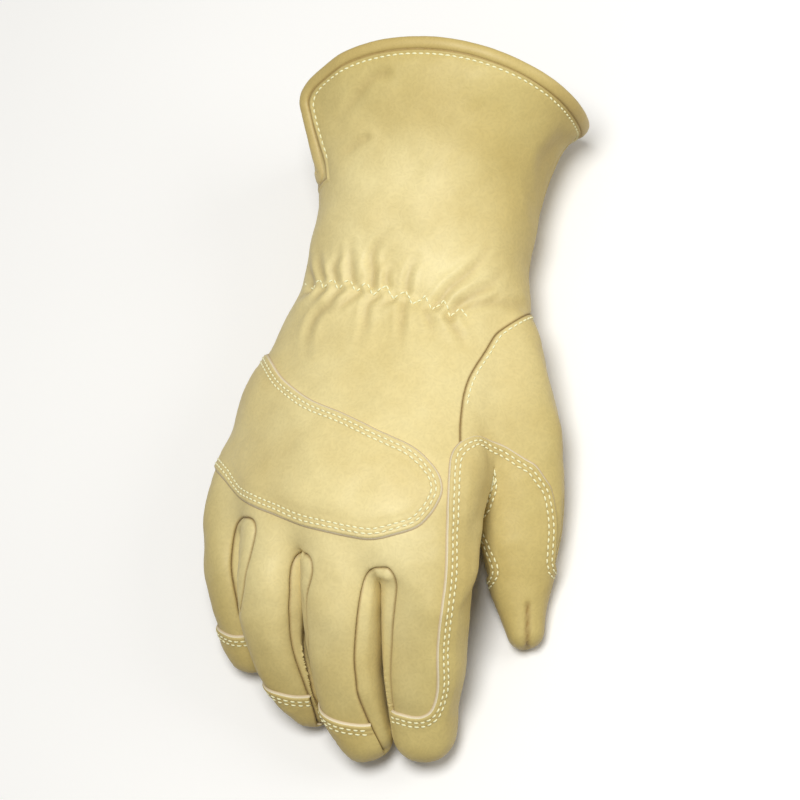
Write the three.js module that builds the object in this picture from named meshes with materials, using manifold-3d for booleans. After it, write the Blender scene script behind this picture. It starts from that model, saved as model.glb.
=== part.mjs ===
// Leather work glove for the right hand with a flared gauntlet cuff, lying palm down on a flat surface.
// The base layer is a hollow shell, cut along its real seams into back, palm, cuff, thumb and finger sides.
// A knuckle strap, a thumb saddle, fingertip caps and a rim binding lie on it as pieces of their own.
// Units are millimetres. +Z is up, +Y runs from the fingers to the cuff, +X is the thumb side.

import * as THREE from "three";
import { mergeVertices } from "three/addons/utils/BufferGeometryUtils.js";
import Module from "manifold-3d";

const wasm = await Module();
wasm.setup();

// Driving dimensions
const wall = 2.0; // leather and its bonded knit backing
const patch = 1.5; // thickness of every piece sewn on top
const gap = 0.3; // clearance between neighbouring pieces
const bindingWidth = 5.2; // rolled rim binding, across the edge
const bindingThick = 3.8;
const seamReachTop = 7; // how far a finger side strip reaches onto the finger at its thumb side, at the crotch
const seamReachTip = 2; // and the same beside the fingertip
const frameShift = [0.4, 3.1, 0]; // moves the model so that its box stands centred on the origin
// Direction in which the sewn pieces were marked out: from above, a little from the fingers and the thumb
const markDir = new THREE.Vector3(0.2924, -0.3271, 0.8986);

// Cuff and hand, one row for each section from beyond the rim to the knuckles.
// halfW and halfH are the half axes, tilt raises the thumb side, arch drops both sides, slant turns it in plan.
const handRows = [
  { y: 150, x: 25, z: 42, halfW: 72, halfH: 45.5, tilt: 0, arch: 0, slant: 0 },
  { y: 130, x: 23.5, z: 39.5, halfW: 65, halfH: 42.5, tilt: 0, arch: 0, slant: 0 },
  { y: 116, x: 23.5, z: 37.5, halfW: 59.5, halfH: 40.5, tilt: 0, arch: 0, slant: 0 },
  { y: 105, x: 19.5, z: 35.5, halfW: 52, halfH: 38.5, tilt: 0, arch: 0, slant: 0 },
  { y: 94, x: 16.5, z: 33.5, halfW: 48, halfH: 36.5, tilt: 0, arch: 0, slant: 0 },
  { y: 82, x: 13.5, z: 32, halfW: 46, halfH: 35, tilt: 0, arch: 0, slant: 0 },
  { y: 68, x: 10.3, z: 30.5, halfW: 47, halfH: 33.5, tilt: 0, arch: 0, slant: 0 },
  { y: 53, x: 6.4, z: 28, halfW: 47.5, halfH: 30.5, tilt: 0, arch: 0, slant: 0 },
  { y: 43, x: 3.6, z: 27.5, halfW: 50, halfH: 29.5, tilt: 0, arch: 0, slant: 0 },
  { y: 26, x: -1.5, z: 28.5, halfW: 54, halfH: 28.5, tilt: 0.02, arch: 0.0006, slant: 0 },
  { y: 3, x: -10, z: 35, halfW: 57.5, halfH: 25.5, tilt: 0.05, arch: 0.0018, slant: -0.04 },
  { y: -20, x: -14, z: 43, halfW: 57, halfH: 21.5, tilt: 0.1, arch: 0.0032, slant: -0.1 },
  { y: -40, x: -18.5, z: 49, halfW: 56, halfH: 18, tilt: 0.126, arch: 0.0043, slant: -0.18 },
  { y: -58, x: -20.5, z: 49, halfW: 54, halfH: 14.5, tilt: 0.126, arch: 0.0043, slant: -0.34 },
  { y: -68.5, x: -20.5, z: 48, halfW: 48, halfH: 9, tilt: 0.126, arch: 0.0043, slant: -0.43 },
];

// Fingers and thumb, one row for each station from inside the hand to the last one before the tip.
// roll leans the back of the finger towards the thumb side, in degrees; tip is the length of the rounded end.
const fingers = {
  index: {
    roll: -4,
    tip: 11,
    rows: [
      { x: 29, y: -12, z: 40, width: 24, depth: 22 },
      { x: 25, y: -36, z: 47, width: 30, depth: 27 },
      { x: 17.5, y: -62, z: 45.5, width: 32, depth: 28 },
      { x: 13.5, y: -84, z: 38, width: 30.5, depth: 27 },
      { x: 9.8, y: -102, z: 29.5, width: 29, depth: 25 },
      { x: 7, y: -118, z: 20.5, width: 25.5, depth: 23 },
      { x: 5.3, y: -129.5, z: 13.5, width: 23.5, depth: 20 },
    ],
  },
  middle: {
    roll: -6,
    tip: 11,
    rows: [
      { x: -4, y: -14, z: 42, width: 24, depth: 22 },
      { x: -9, y: -38, z: 51, width: 28, depth: 27 },
      { x: -16, y: -62, z: 50, width: 29, depth: 27 },
      { x: -19.5, y: -83, z: 43, width: 28.5, depth: 26 },
      { x: -22, y: -101, z: 33.5, width: 27.5, depth: 24.5 },
      { x: -22, y: -117, z: 22.5, width: 24.5, depth: 22 },
      { x: -19.5, y: -128, z: 14, width: 20.5, depth: 19 },
    ],
  },
  ring: {
    roll: -20,
    tip: 10,
    rows: [
      { x: -34, y: -8, z: 36, width: 22, depth: 20 },
      { x: -42, y: -34, z: 45, width: 26, depth: 25 },
      { x: -46.5, y: -60, z: 44.5, width: 26.5, depth: 25 },
      { x: -50, y: -80, z: 38, width: 25.5, depth: 24 },
      { x: -50, y: -96, z: 28, width: 24, depth: 22 },
      { x: -46.5, y: -107, z: 18.5, width: 20.5, depth: 19.5 },
      { x: -42.5, y: -114, z: 11.5, width: 17, depth: 17 },
    ],
  },
  little: {
    roll: -34,
    tip: 9,
    rows: [
      { x: -60, y: -4, z: 27, width: 18, depth: 16 },
      { x: -69, y: -30, z: 33, width: 21, depth: 19 },
      { x: -72, y: -56, z: 29.5, width: 22, depth: 21 },
      { x: -72, y: -73, z: 22.5, width: 21, depth: 20 },
      { x: -71, y: -84, z: 15, width: 19, depth: 18 },
      { x: -69.5, y: -90.5, z: 10.5, width: 16.5, depth: 16 },
    ],
  },
  thumb: {
    roll: 14,
    tip: 7,
    rows: [
      { x: 27, y: 44, z: 27, width: 30, depth: 34 },
      { x: 40, y: 22, z: 26, width: 32, depth: 36 },
      { x: 46, y: -2, z: 25, width: 34, depth: 34 },
      { x: 47.5, y: -23, z: 22.5, width: 36, depth: 32 },
      { x: 47, y: -43, z: 18.5, width: 34, depth: 29 },
      { x: 44.5, y: -64, z: 12.5, width: 28.5, depth: 25 },
      { x: 43.5, y: -80, z: 9.5, width: 20.5, depth: 20 },
      { x: 44.5, y: -91, z: 7, width: 14, depth: 15 },
    ],
  },
};

// The rim in plan, and the notch in its little-finger side
const rim = { peakX: 12, peakY: 136.5, fallThumb: 0.0043, fallLittle: 0.0044 };
const notch = { maxX: 4, y: 96, z: 38, rise: 2.3 };

// Height of the seam between back and palm, in columns from the little-finger edge to the thumb edge
const splitX = [-100, -60, -20, 13, 46, 110];
const splitRows = [
  { y: 175, z: [26, 26, 26, 24, 22, 20] },
  { y: 45, z: [20, 20, 20, 20, 20, 20] },
  { y: -10, z: [23, 27, 35, 33, 21, 21] },
  { y: -50, z: [24, 40, 50, 46, 16, 16] },
  { y: -82, z: [12, 25, 41, 36, 10, 10] },
  { y: -118, z: [8, 11, 20, 19, 7, 7] },
  { y: -160, z: [6, 7, 9, 9, 7, 7] },
];

// Outlines of the sewn pieces, marked out along markDir on the plane z = 0
const thumbPanelLine = [
  [120, 60], [60, 51], [47, 44], [40, 41], [34, 38], [30, 35], [26, 29], [21, 22], [18, 16], [16, 8],
  [15, -5], [16, -24], [22, -46], [26, -60], [26, -140], [120, -140],
];
const strapLine = [
  [-120, 62], [-74, 47], [-66, 38], [-60, 28], [-53, 21], [-45, 15], [-33, 9], [-21, 2], [-12, -3],
  [-4, -8], [2, -14], [6, -20], [7, -26], [5, -31], [2, -35], [-3, -39], [-12, -41], [-21, -42],
  [-30, -40], [-40, -37], [-49, -34], [-60, -29], [-69, -25], [-77, -20], [-85, -11], [-96, -2], [-120, 8],
];
const saddleLine = [
  [-14, -116], [-11, -116], [-5, -118], [0, -118], [4, -115], [6, -107], [6, -92], [7, -76], [9, -61],
  [10, -38], [10, -33], [11, -17], [12, -12], [14, -9], [17, -7], [22, -6], [28, -9], [34, -12], [42, -18],
  [46, -21], [50, -27], [52, -31], [53, -38], [53, -46], [51, -60], [51, -65], [53, -69], [70, -76],
  [70, -140], [-14, -140],
];
const saddleSlit = [
  [28, -25], [30, -28], [28, -35], [27, -40], [27, -43], [30, -52], [33, -62], [33, -69], [30, -73],
  [12, -78], [18, -52], [24, -40], [26, -29],
];
const capStart = { middle: 0.86, ring: 0.82, little: 0.76 }; // share of the finger's rows covered up to the cap

const sides = { hand: 24, finger: 10, innerHand: 16, innerFinger: 8, binding: 6 };

// Superellipse offset of one corner angle: half is the half axis, power the exponent of the curve
function squircle(value, half, power) {
  return Math.sign(value) * half * Math.abs(value) ** (2 / power);
}

// Manifold solid from rings of equal length, closed at both ends by fans around their middles
function loft(rings) {
  const count = rings[0].length;
  const middles = [rings[0], rings[rings.length - 1]].map((ring) =>
    ring.reduce((sum, p) => sum.add(p), new THREE.Vector3()).divideScalar(count),
  );
  const points = [...rings.flat(), ...middles];
  const triangles = [];
  for (let r = 0; r + 1 < rings.length; r++) {
    for (let i = 0; i < count; i++) {
      const [a, b] = [r * count + i, r * count + ((i + 1) % count)];
      triangles.push(a, b, a + count, b, b + count, a + count);
    }
  }
  const last = (rings.length - 1) * count;
  for (let i = 0; i < count; i++) {
    const next = (i + 1) % count;
    triangles.push(points.length - 2, next, i);
    triangles.push(points.length - 1, last + i, last + next);
  }
  return solidFrom(points, triangles);
}

// Manifold solid from points and triangles, turned round where its faces point inwards
function solidFrom(points, triangles) {
  const vertProperties = new Float32Array(points.flatMap((p) => [p.x, p.y, p.z]));
  const make = (triVerts) =>
    new wasm.Manifold(new wasm.Mesh({ numProp: 3, vertProperties, triVerts }));
  const made = make(new Uint32Array(triangles));
  if (made.volume() > 0) return made;
  const turned = [];
  for (let i = 0; i < triangles.length; i += 3) {
    turned.push(triangles[i], triangles[i + 2], triangles[i + 1]);
  }
  return make(new Uint32Array(turned));
}

// Manifold solid from a three.js geometry
function solidOf(geometry) {
  const bare = geometry.clone();
  bare.deleteAttribute("normal");
  bare.deleteAttribute("uv");
  const merged = mergeVertices(bare, 1e-4);
  const position = merged.getAttribute("position");
  const points = [];
  for (let i = 0; i < position.count; i++) {
    points.push(new THREE.Vector3().fromBufferAttribute(position, i));
  }
  return solidFrom(points, [...merged.index.array]);
}

// Box from its low and high corners
function box(low, high) {
  const size = high.map((value, axis) => value - low[axis]);
  const centre = high.map((value, axis) => (value + low[axis]) / 2);
  return solidOf(new THREE.BoxGeometry(...size).translate(...centre));
}

// One section of the hand, its half axes grown by grow, at the given row values
function handRing(row, grow) {
  const ring = [];
  const count = grow < 0 ? sides.innerHand : sides.hand;
  for (let i = 0; i < count; i++) {
    const angle = (2 * Math.PI * i) / count;
    const x = squircle(Math.cos(angle), row.halfW + grow, 2.25);
    const z = squircle(Math.sin(angle), row.halfH + grow, 2.25);
    const lift = row.tilt * x - row.arch * x * x;
    ring.push(new THREE.Vector3(row.x + x, row.y + row.slant * x, row.z + z + lift));
  }
  return ring;
}

function handLoft(grow) {
  return loft(handRows.map((row) => handRing(row, grow)));
}

// Centre line of a finger with its side and back directions at each row
function fingerFrames({ rows, roll }) {
  const centres = rows.map((row) => new THREE.Vector3(row.x, row.y, row.z));
  const lean = THREE.MathUtils.degToRad(roll);
  return rows.map((row, i) => {
    const before = centres[Math.max(0, i - 1)];
    const after = centres[Math.min(rows.length - 1, i + 1)];
    const along = after.clone().sub(before).normalize();
    const side = along.clone().cross(new THREE.Vector3(Math.sin(lean), 0, Math.cos(lean))).negate();
    side.normalize();
    const back = side.clone().cross(along).negate().normalize();
    return { centre: centres[i], along, side, back, width: row.width, depth: row.depth };
  });
}

function fingerRing(frame, grow, scale, shift) {
  const ring = [];
  const centre = frame.centre.clone().addScaledVector(frame.along, shift);
  const count = grow < 0 ? sides.innerFinger : sides.finger;
  for (let i = 0; i < count; i++) {
    const angle = (2 * Math.PI * (i + 0.5)) / count;
    const across = squircle(Math.cos(angle), (frame.width / 2 + grow) * scale, 2.6);
    const up = squircle(Math.sin(angle), (frame.depth / 2 + grow) * scale, 2.6);
    ring.push(centre.clone().addScaledVector(frame.side, across).addScaledVector(frame.back, up));
  }
  return ring;
}

// Finger or thumb with a blunt round tip, grown by grow all round
function fingerLoft(finger, grow) {
  const frames = fingerFrames(finger);
  const rings = frames.map((frame) => fingerRing(frame, grow, 1, 0));
  const last = frames[frames.length - 1];
  for (const turn of [0.45, 0.8, 1]) {
    const angle = (turn * Math.PI) / 2;
    const scale = Math.max(0.12, Math.cos(angle) ** 0.75);
    rings.push(fingerRing(last, grow, scale, Math.sin(angle) * (finger.tip + grow)));
  }
  return loft(rings);
}

// Whole hand form, flattened where it rests on the surface
function handForm(grow) {
  let form = handLoft(grow);
  for (const finger of Object.values(fingers)) {
    form = form.add(fingerLoft(finger, grow));
  }
  return form.intersect(box([-200, -200, -Math.min(0, grow)], [200, 250, 200]));
}

// Prism of an outline marked out along markDir, reaching from below the glove to above it
function marked(outline) {
  const low = -60;
  const high = 140;
  const shape = new THREE.Shape(outline.map(([x, y]) => new THREE.Vector2(x, y)));
  const prism = new THREE.ExtrudeGeometry(shape, { depth: high - low, bevelEnabled: false });
  const shear = new THREE.Matrix4().makeShear(0, 0, 0, 0, markDir.x / markDir.z, markDir.y / markDir.z);
  return solidOf(prism.translate(0, 0, low).applyMatrix4(shear));
}

// Outline with every corner moved outwards by distance
function grown(outline, distance) {
  const corners = outline.map(([x, y]) => new THREE.Vector2(x, y));
  const turn = Math.sign(THREE.ShapeUtils.area(corners));
  return corners.map((corner, i) => {
    const before = corners[(i + corners.length - 1) % corners.length];
    const after = corners[(i + 1) % corners.length];
    const along = after.clone().sub(before).normalize();
    return [corner.x + turn * along.y * distance, corner.y - turn * along.x * distance];
  });
}

// Solid under the seam height between back and palm, its top lifted by lift
function underSplit(lift) {
  const low = -80;
  const top = splitRows.map((row) => row.z.map((z, i) => new THREE.Vector3(splitX[i], row.y, z + lift)));
  const rings = top.map((line) => [
    ...line,
    ...[...line].reverse().map((p) => new THREE.Vector3(p.x, p.y, low)),
  ]);
  return loft(rings);
}

// Centre line of a finger at a given y, run on straight past its last row
function fingerAt(finger, y) {
  const frames = fingerFrames(finger);
  let i = 0;
  while (i < frames.length - 2 && frames[i + 1].centre.y > y) i++;
  const [a, b] = [frames[i], frames[i + 1]];
  const share = (a.centre.y - y) / (a.centre.y - b.centre.y);
  const capped = Math.min(share, 1);
  return {
    centre: a.centre.clone().lerp(b.centre, share),
    side: a.side.clone().lerp(b.side, capped).normalize(),
    back: a.back.clone().lerp(b.back, capped).normalize(),
    width: THREE.MathUtils.lerp(a.width, b.width, capped),
  };
}

// Blade between two fingers that cuts out the strip forming their facing sides, closed by a round top
function gapBlade({ left, right, topY, endY, reach }, grow) {
  const steps = 5;
  const rings = [];
  for (let i = 0; i <= steps; i++) {
    const y = topY + grow - ((topY - endY + 2 * grow) * i) / steps;
    const [a, b] = [fingerAt(fingers[left], y), fingerAt(fingers[right], y)];
    const from = a.centre.clone().addScaledVector(a.side, a.width / 2);
    const to = b.centre.clone().addScaledVector(b.side, -b.width / 2);
    const middle = from.clone().add(to).divideScalar(2);
    const across = to.clone().sub(from);
    const run = Math.min(1, (topY + grow - y) / 9);
    const closing = 0.25 + 0.75 * Math.sqrt(1 - (1 - run) ** 2);
    const half = across.length() / 2;
    const low = (half + reach) * closing + grow;
    const high = (half + THREE.MathUtils.lerp(seamReachTop, seamReachTip, i / steps)) * closing + grow;
    const back = a.back.clone().add(b.back).normalize();
    const side = back.clone().cross(new THREE.Vector3(0, 1, 0)).negate().normalize();
    const corner = (s, u) => middle.clone().addScaledVector(side, s).addScaledVector(back, u);
    rings.push([corner(-low, -40), corner(high, -40), corner(high, 40), corner(-low, 40)]);
  }
  return loft(rings);
}

// Furthest y of the edge at a place on the cuff, rim curve and notch taken together
function rimLimit(x, z) {
  const fall = x > rim.peakX ? rim.fallThumb : rim.fallLittle;
  const edge = rim.peakY - fall * (x - rim.peakX) ** 2;
  if (x > notch.maxX) return edge;
  return Math.min(edge, notch.y + notch.rise * Math.abs(z - notch.z));
}

// Everything beyond the rim, its edge drawn back by back
function beyondRim(back) {
  const plan = [-70, -52.5, -35, -17.5, 0, 20, 40, 60, 80, 100].map((x) => {
    const fall = x > rim.peakX ? rim.fallThumb : rim.fallLittle;
    return new THREE.Vector2(x, rim.peakY - back - fall * (x - rim.peakX) ** 2);
  });
  const shape = new THREE.Shape([...plan, new THREE.Vector2(100, 220), new THREE.Vector2(-70, 220)]);
  const cap = new THREE.ExtrudeGeometry(shape, { depth: 240, bevelEnabled: false }).translate(0, 0, -60);
  const tipY = notch.y - back * 1.1;
  const spread = 60 / notch.rise;
  const vee = new THREE.Shape([
    new THREE.Vector2(tipY, notch.z),
    new THREE.Vector2(tipY + 60, notch.z + spread),
    new THREE.Vector2(tipY + 60, notch.z - spread),
  ]);
  const wedge = new THREE.ExtrudeGeometry(vee, { depth: 90, bevelEnabled: false });
  wedge.applyMatrix4(new THREE.Matrix4().makeBasis(
    new THREE.Vector3(0, 1, 0), new THREE.Vector3(0, 0, 1), new THREE.Vector3(1, 0, 0),
  ));
  wedge.translate(notch.maxX - 90, 0, 0);
  return solidOf(cap).add(solidOf(wedge));
}

// Point of the cuff's middle surface at an angle and a y, between two rows of the table
function cuffPoint(angle, y) {
  let i = 0;
  while (i < handRows.length - 2 && handRows[i + 1].y > y) i++;
  const [a, b] = [handRows[i], handRows[i + 1]];
  const share = (a.y - y) / (a.y - b.y);
  const at = (key) => THREE.MathUtils.lerp(a[key], b[key], share);
  const x = at("x") + squircle(Math.cos(angle), at("halfW") - wall / 2, 2.25);
  const z = at("z") + squircle(Math.sin(angle), at("halfH") - wall / 2, 2.25);
  return new THREE.Vector3(x, y, Math.max(z, bindingThick / 2));
}

// Rolled binding along the rim and down both sides of the notch
function rimBinding(grow) {
  const count = 48;
  const path = [];
  for (let i = 0; i < count; i++) {
    const angle = (2 * Math.PI * i) / count;
    let y = rim.peakY;
    for (let step = 0; step < 30; step++) {
      const p = cuffPoint(angle, y);
      y = (y + rimLimit(p.x, p.z) - bindingWidth / 2) / 2;
    }
    path.push({ point: cuffPoint(angle, y), above: cuffPoint(angle, y + 2), below: cuffPoint(angle, y - 2) });
  }
  const rings = path.map(({ point, above, below }, i) => {
    const before = path[(i + count - 1) % count].point;
    const after = path[(i + 1) % count].point;
    const along = after.clone().sub(before).normalize();
    const wallDir = above.clone().sub(below).normalize();
    const out = along.clone().cross(wallDir).normalize();
    const edge = out.clone().cross(along).normalize();
    const ring = [];
    for (let k = 0; k < sides.binding; k++) {
      const turn = (2 * Math.PI * (k + 0.5)) / sides.binding;
      const across = squircle(Math.cos(turn), bindingWidth / 2 + grow, 2.6);
      const thick = squircle(Math.sin(turn), bindingThick / 2 + grow, 2.6);
      const place = point.clone().addScaledVector(edge, across).addScaledVector(out, thick);
      place.z = Math.max(place.z, -grow);
      ring.push(place);
    }
    return ring;
  });
  const points = rings.flat();
  const triangles = [];
  for (let r = 0; r < count; r++) {
    for (let k = 0; k < sides.binding; k++) {
      const next = (k + 1) % sides.binding;
      const [a, b] = [r * sides.binding + k, r * sides.binding + next];
      const [c, d] = [((r + 1) % count) * sides.binding + k, ((r + 1) % count) * sides.binding + next];
      triangles.push(a, b, c, b, d, c);
    }
  }
  return solidFrom(points, triangles);
}

// Box along a finger from a share of its rows to past its tip
function tipBlock(finger, share) {
  const frames = fingerFrames(finger);
  const last = frames.length - 1;
  const at = share * last;
  const i = Math.min(Math.floor(at), last - 1);
  const start = frames[i].centre.clone().lerp(frames[i + 1].centre, at - i);
  const along = frames[last].along;
  const reach = 60;
  const half = 24;
  const corner = (t, s, u) =>
    start.clone()
      .addScaledVector(along, t)
      .addScaledVector(frames[last].side, s * half)
      .addScaledVector(frames[last].back, u * half);
  const ring = (t) => [corner(t, -1, -1), corner(t, 1, -1), corner(t, 1, 1), corner(t, -1, 1)];
  return loft([ring(0), ring(reach)]);
}

// Base shell and the volumes that cut it along its seams
const outer = handForm(0).simplify(0.2);
const inner = handForm(-wall).simplify(0.4);
const shell = outer.subtract(inner).subtract(beyondRim(bindingWidth)).subtract(rimBinding(gap));
const under = underSplit(-gap / 2);
const overSplit = underSplit(gap / 2);
const gaps = {
  index_middle: { left: "middle", right: "index", topY: -70, endY: -130, reach: 0.5 },
  middle_ring: { left: "ring", right: "middle", topY: -59, endY: -120, reach: 0.5 },
  ring_little: { left: "little", right: "ring", topY: -44, endY: -100, reach: 0.5 },
};
const wideBlades = Object.values(gaps)
  .map((place) => gapBlade(place, gap))
  .reduce((a, b) => a.add(b));
const indexCore = fingerLoft(fingers.index, 0.8);
const thumbZone = (grow) => marked(grown(thumbPanelLine, grow)).subtract(fingerLoft(fingers.index, 0.8 - grow));

const uppers = shell.subtract(overSplit).subtract(wideBlades);
const lowers = shell.intersect(under).subtract(wideBlades);
const wristY = 46;
const thumbFrontZone = (grow) =>
  marked(grown([[32, 40], [28, -10], [30, -60], [30, -140], [120, -140], [120, 40]], grow)).subtract(indexCore);

// Cover of the given thickness that lies just clear of the base shell
const skin = handForm(gap + patch).simplify(0.12).subtract(handForm(gap).simplify(0.12));
const saddleZone = marked(saddleLine)
  .subtract(marked(saddleSlit).subtract(fingerLoft(fingers.index, 4)))
  .subtract(fingerLoft(fingers.middle, gap + patch + gap));

const pieces = {
  back_panel: uppers.subtract(thumbZone(gap)),
  thumb_panel: uppers.intersect(thumbZone(0)),
  cuff_palm_panel: lowers.intersect(box([-200, wristY + gap / 2, -50], [200, 250, 200])),
  palm_panel: lowers
    .intersect(box([-200, -200, -50], [200, wristY - gap / 2, 200]))
    .subtract(thumbFrontZone(gap)),
  thumb_palm_panel: lowers
    .intersect(box([-200, -200, -50], [200, wristY - gap / 2, 200]))
    .intersect(thumbFrontZone(0)),
  knuckle_strap: skin.intersect(marked(strapLine)).subtract(underSplit(gap)),
  thumb_saddle: skin.intersect(saddleZone),
  rim_binding: rimBinding(0),
};
for (const [name, place] of Object.entries(gaps)) {
  pieces[`fourchette_${name}`] = shell.intersect(gapBlade(place, 0));
}
for (const [name, share] of Object.entries(capStart)) {
  const finger = fingers[name];
  pieces[`fingertip_cap_${name}`] = fingerLoft(finger, gap + patch)
    .subtract(fingerLoft(finger, gap))
    .intersect(tipBlock(finger, share))
    .intersect(box([-200, -200, 0], [200, 250, 200]));
}
pieces.fingertip_cap_ring = pieces.fingertip_cap_ring.subtract(fingerLoft(fingers.middle, 2 * gap + patch));

// Largest body of a solid with needless corners taken out, which drops the slivers that a cut can leave
function largest(solid) {
  const bodies = solid.simplify(0.14).decompose();
  return bodies.reduce((best, body) => (body.volume() > best.volume() ? body : best));
}

function meshOf(name, solid, material) {
  const body = largest(solid);
  const { vertProperties, triVerts, numProp } = body.getMesh();
  const geometry = new THREE.BufferGeometry();
  const positions = new Float32Array((vertProperties.length / numProp) * 3);
  for (let i = 0; i < positions.length / 3; i++) {
    for (let axis = 0; axis < 3; axis++) {
      positions[3 * i + axis] = vertProperties[numProp * i + axis];
    }
  }
  geometry.setAttribute("position", new THREE.BufferAttribute(positions, 3));
  geometry.setIndex(new THREE.BufferAttribute(new Uint32Array(triVerts), 1));
  geometry.computeVertexNormals();
  const mesh = new THREE.Mesh(geometry, material);
  mesh.name = name;
  return mesh;
}

const grain = new THREE.MeshStandardMaterial({ color: 0xd9c68a, roughness: 0.55, metalness: 0 });
const overlay = new THREE.MeshStandardMaterial({ color: 0xd6bf80, roughness: 0.5, metalness: 0 });
const binding = new THREE.MeshStandardMaterial({ color: 0xdac48c, roughness: 0.45, metalness: 0 });

const glove = new THREE.Group();
for (const [name, solid] of Object.entries(pieces)) {
  const sewnOn = name === "knuckle_strap" || name === "thumb_saddle" || name.startsWith("fingertip");
  const material = name === "rim_binding" ? binding : sewnOn ? overlay : grain;
  glove.add(meshOf(name, solid, material));
}
glove.position.set(...frameShift);

export default glove;
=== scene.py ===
import math

import bpy
import numpy as np
from mathutils import Matrix


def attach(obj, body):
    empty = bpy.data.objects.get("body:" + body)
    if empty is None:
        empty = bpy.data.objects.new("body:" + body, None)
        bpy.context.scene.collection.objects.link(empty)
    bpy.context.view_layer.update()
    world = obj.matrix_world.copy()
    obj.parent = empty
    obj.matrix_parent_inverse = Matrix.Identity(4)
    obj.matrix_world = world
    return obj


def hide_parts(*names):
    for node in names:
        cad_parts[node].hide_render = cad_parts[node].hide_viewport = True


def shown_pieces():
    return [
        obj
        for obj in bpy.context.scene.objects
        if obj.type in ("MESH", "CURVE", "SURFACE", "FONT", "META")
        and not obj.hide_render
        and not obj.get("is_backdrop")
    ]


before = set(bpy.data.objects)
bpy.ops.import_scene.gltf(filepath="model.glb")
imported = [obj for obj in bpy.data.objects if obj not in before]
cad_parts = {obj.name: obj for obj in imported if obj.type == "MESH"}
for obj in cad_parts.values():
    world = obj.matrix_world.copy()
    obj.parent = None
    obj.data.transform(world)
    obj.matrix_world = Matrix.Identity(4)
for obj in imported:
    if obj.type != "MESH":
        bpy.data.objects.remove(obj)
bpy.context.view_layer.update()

print("frame loaded:", len(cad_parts), "nodes")

# All tables are in millimetres in the pattern's own frame; shift takes them to the model's frame.
# +Z is up, +Y runs from the fingers to the cuff, +X is the thumb side.
pattern = {
    "shift": (0.4, 3.1, 0.0),
    "markDir": (0.2924, -0.3271, 0.8986),  # the sewn pieces are marked out along this direction
    "wall": 1.9, "floorGap": 0.4,  # thickness of the leather, and how far its inner face stays above the floor
}
# the back of the cuff beside its notch stands open as a wing; each row: y, hinge x, hinge z, lean, radius
wing = {
    "rows": [
        (92, -24.7, 54.2, 51, 31), (97, -21.5, 58.7, 43, 32), (104, -17.2, 64.5, 34, 35), (112, -12.2, 70.3, 25, 40),
        (120, -9.3, 74.3, 20, 46), (128, -8.2, 77.4, 17, 53), (150, -7.0, 84.0, 15, 60)],
    "lean": 31, "bend": 2.0, "start": (90, 100), "side": (47, 52),
}
markDir = np.array(pattern["markDir"])
slope = markDir[:2] / markDir[2]


def smoothStep(x, low, high):
    t = np.clip((x - low) / (high - low), 0, 1)
    return t * t * (3 - 2 * t)


def openWing(points):
    x, y, z = points.T
    table = np.array(wing["rows"], float).T
    hingeX, hingeZ, lean, radius = (np.interp(y, table[0], row) for row in table[1:])
    first, last = np.radians(lean), math.radians(wing["lean"])
    nx, nz = -np.sin(first), np.cos(first)
    dx, dz = x - hingeX + nx * radius, z - hingeZ + nz * radius
    turn = np.arctan2(-dx * nz + dz * nx, dx * nx + dz * nz)
    s = radius * np.maximum(turn, 0)
    over = np.hypot(dx, dz) - radius
    fade = np.exp(-s / wing["bend"])
    before = wing["bend"] * (1 - fade)
    outX = nx * fade - math.sin(last) * (1 - fade)
    outZ = nz * fade + math.cos(last) * (1 - fade)
    size = np.hypot(outX, outZ)
    newX = hingeX - nz * before - math.cos(last) * (s - before) + over * outX / size
    newZ = hingeZ + nx * before - math.sin(last) * (s - before) + over * outZ / size
    share = smoothStep(y, *wing["start"]) * smoothStep(z, *wing["side"]) * (turn > 0)
    return np.stack([x + share * (newX - x), y, z + share * (newZ - z)], 1)


def plainModel(points):
    return (np.asarray(points, float) + pattern["shift"]) * 0.001


def toModel(points):
    return plainModel(openWing(np.asarray(points, float)))


def pointsOf(mesh):
    points = np.zeros(len(mesh.vertices) * 3)
    mesh.vertices.foreach_get("co", points)
    return points.reshape(-1, 3)


def deselectAll():
    if bpy.context.object and bpy.context.object.mode != "OBJECT":
        bpy.ops.object.mode_set(mode="OBJECT")
    bpy.ops.object.select_all(action="DESELECT")


def pick(*objects):
    deselectAll()
    for obj in objects:
        obj.select_set(True)
    bpy.context.view_layer.objects.active = objects[0]


def faceOutwards(obj, merge=0.0):  # turns the faces outwards, after merging points that lie closer than merge
    pick(obj)
    bpy.ops.object.mode_set(mode="EDIT")
    bpy.ops.mesh.select_all(action="SELECT")
    if merge:
        bpy.ops.mesh.remove_doubles(threshold=merge)
    bpy.ops.mesh.normals_make_consistent(inside=False)
    bpy.ops.object.mode_set(mode="OBJECT")


def newFinish(name):
    finish = bpy.data.materials.new(name)
    finish.use_nodes = True
    return finish, finish.node_tree, finish.node_tree.nodes["Principled BSDF"]


# camera, floor and light
studio = {
    "target": (0.0004, 0.0031, 0.035),
    "distance": 1.0,
    "lens": 112.5,
    "shiftX": 0.00625,
    "right": (0.9509, 0.0, -0.3094),
    "up": (0.1012, 0.9450, 0.3110),
    "floorSize": 12, "floorHeight": -0.0002,  # a hair under the glove
    "floorColour": (1.0, 1.0, 1.0, 1),
    "floorBounce": (0.42, 0.36, 0.24, 1),  # what the floor gives back onto the leather
    "worldColour": (1.0, 0.97, 0.90, 1),
    "worldStrength": 0.26,
    "lightsAim": (0, 0, 0.02),
    "lights": [  # name, place, size, power, colour
        ("keyLight", (0.14, -0.02, 1.12), 0.5, 9.3, (1.0, 0.995, 0.975)),
        ("fillLight", (0.85, 0.10, 0.50), 0.6, 2.2, (1.0, 1.0, 0.98)),
    ],
}


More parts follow.
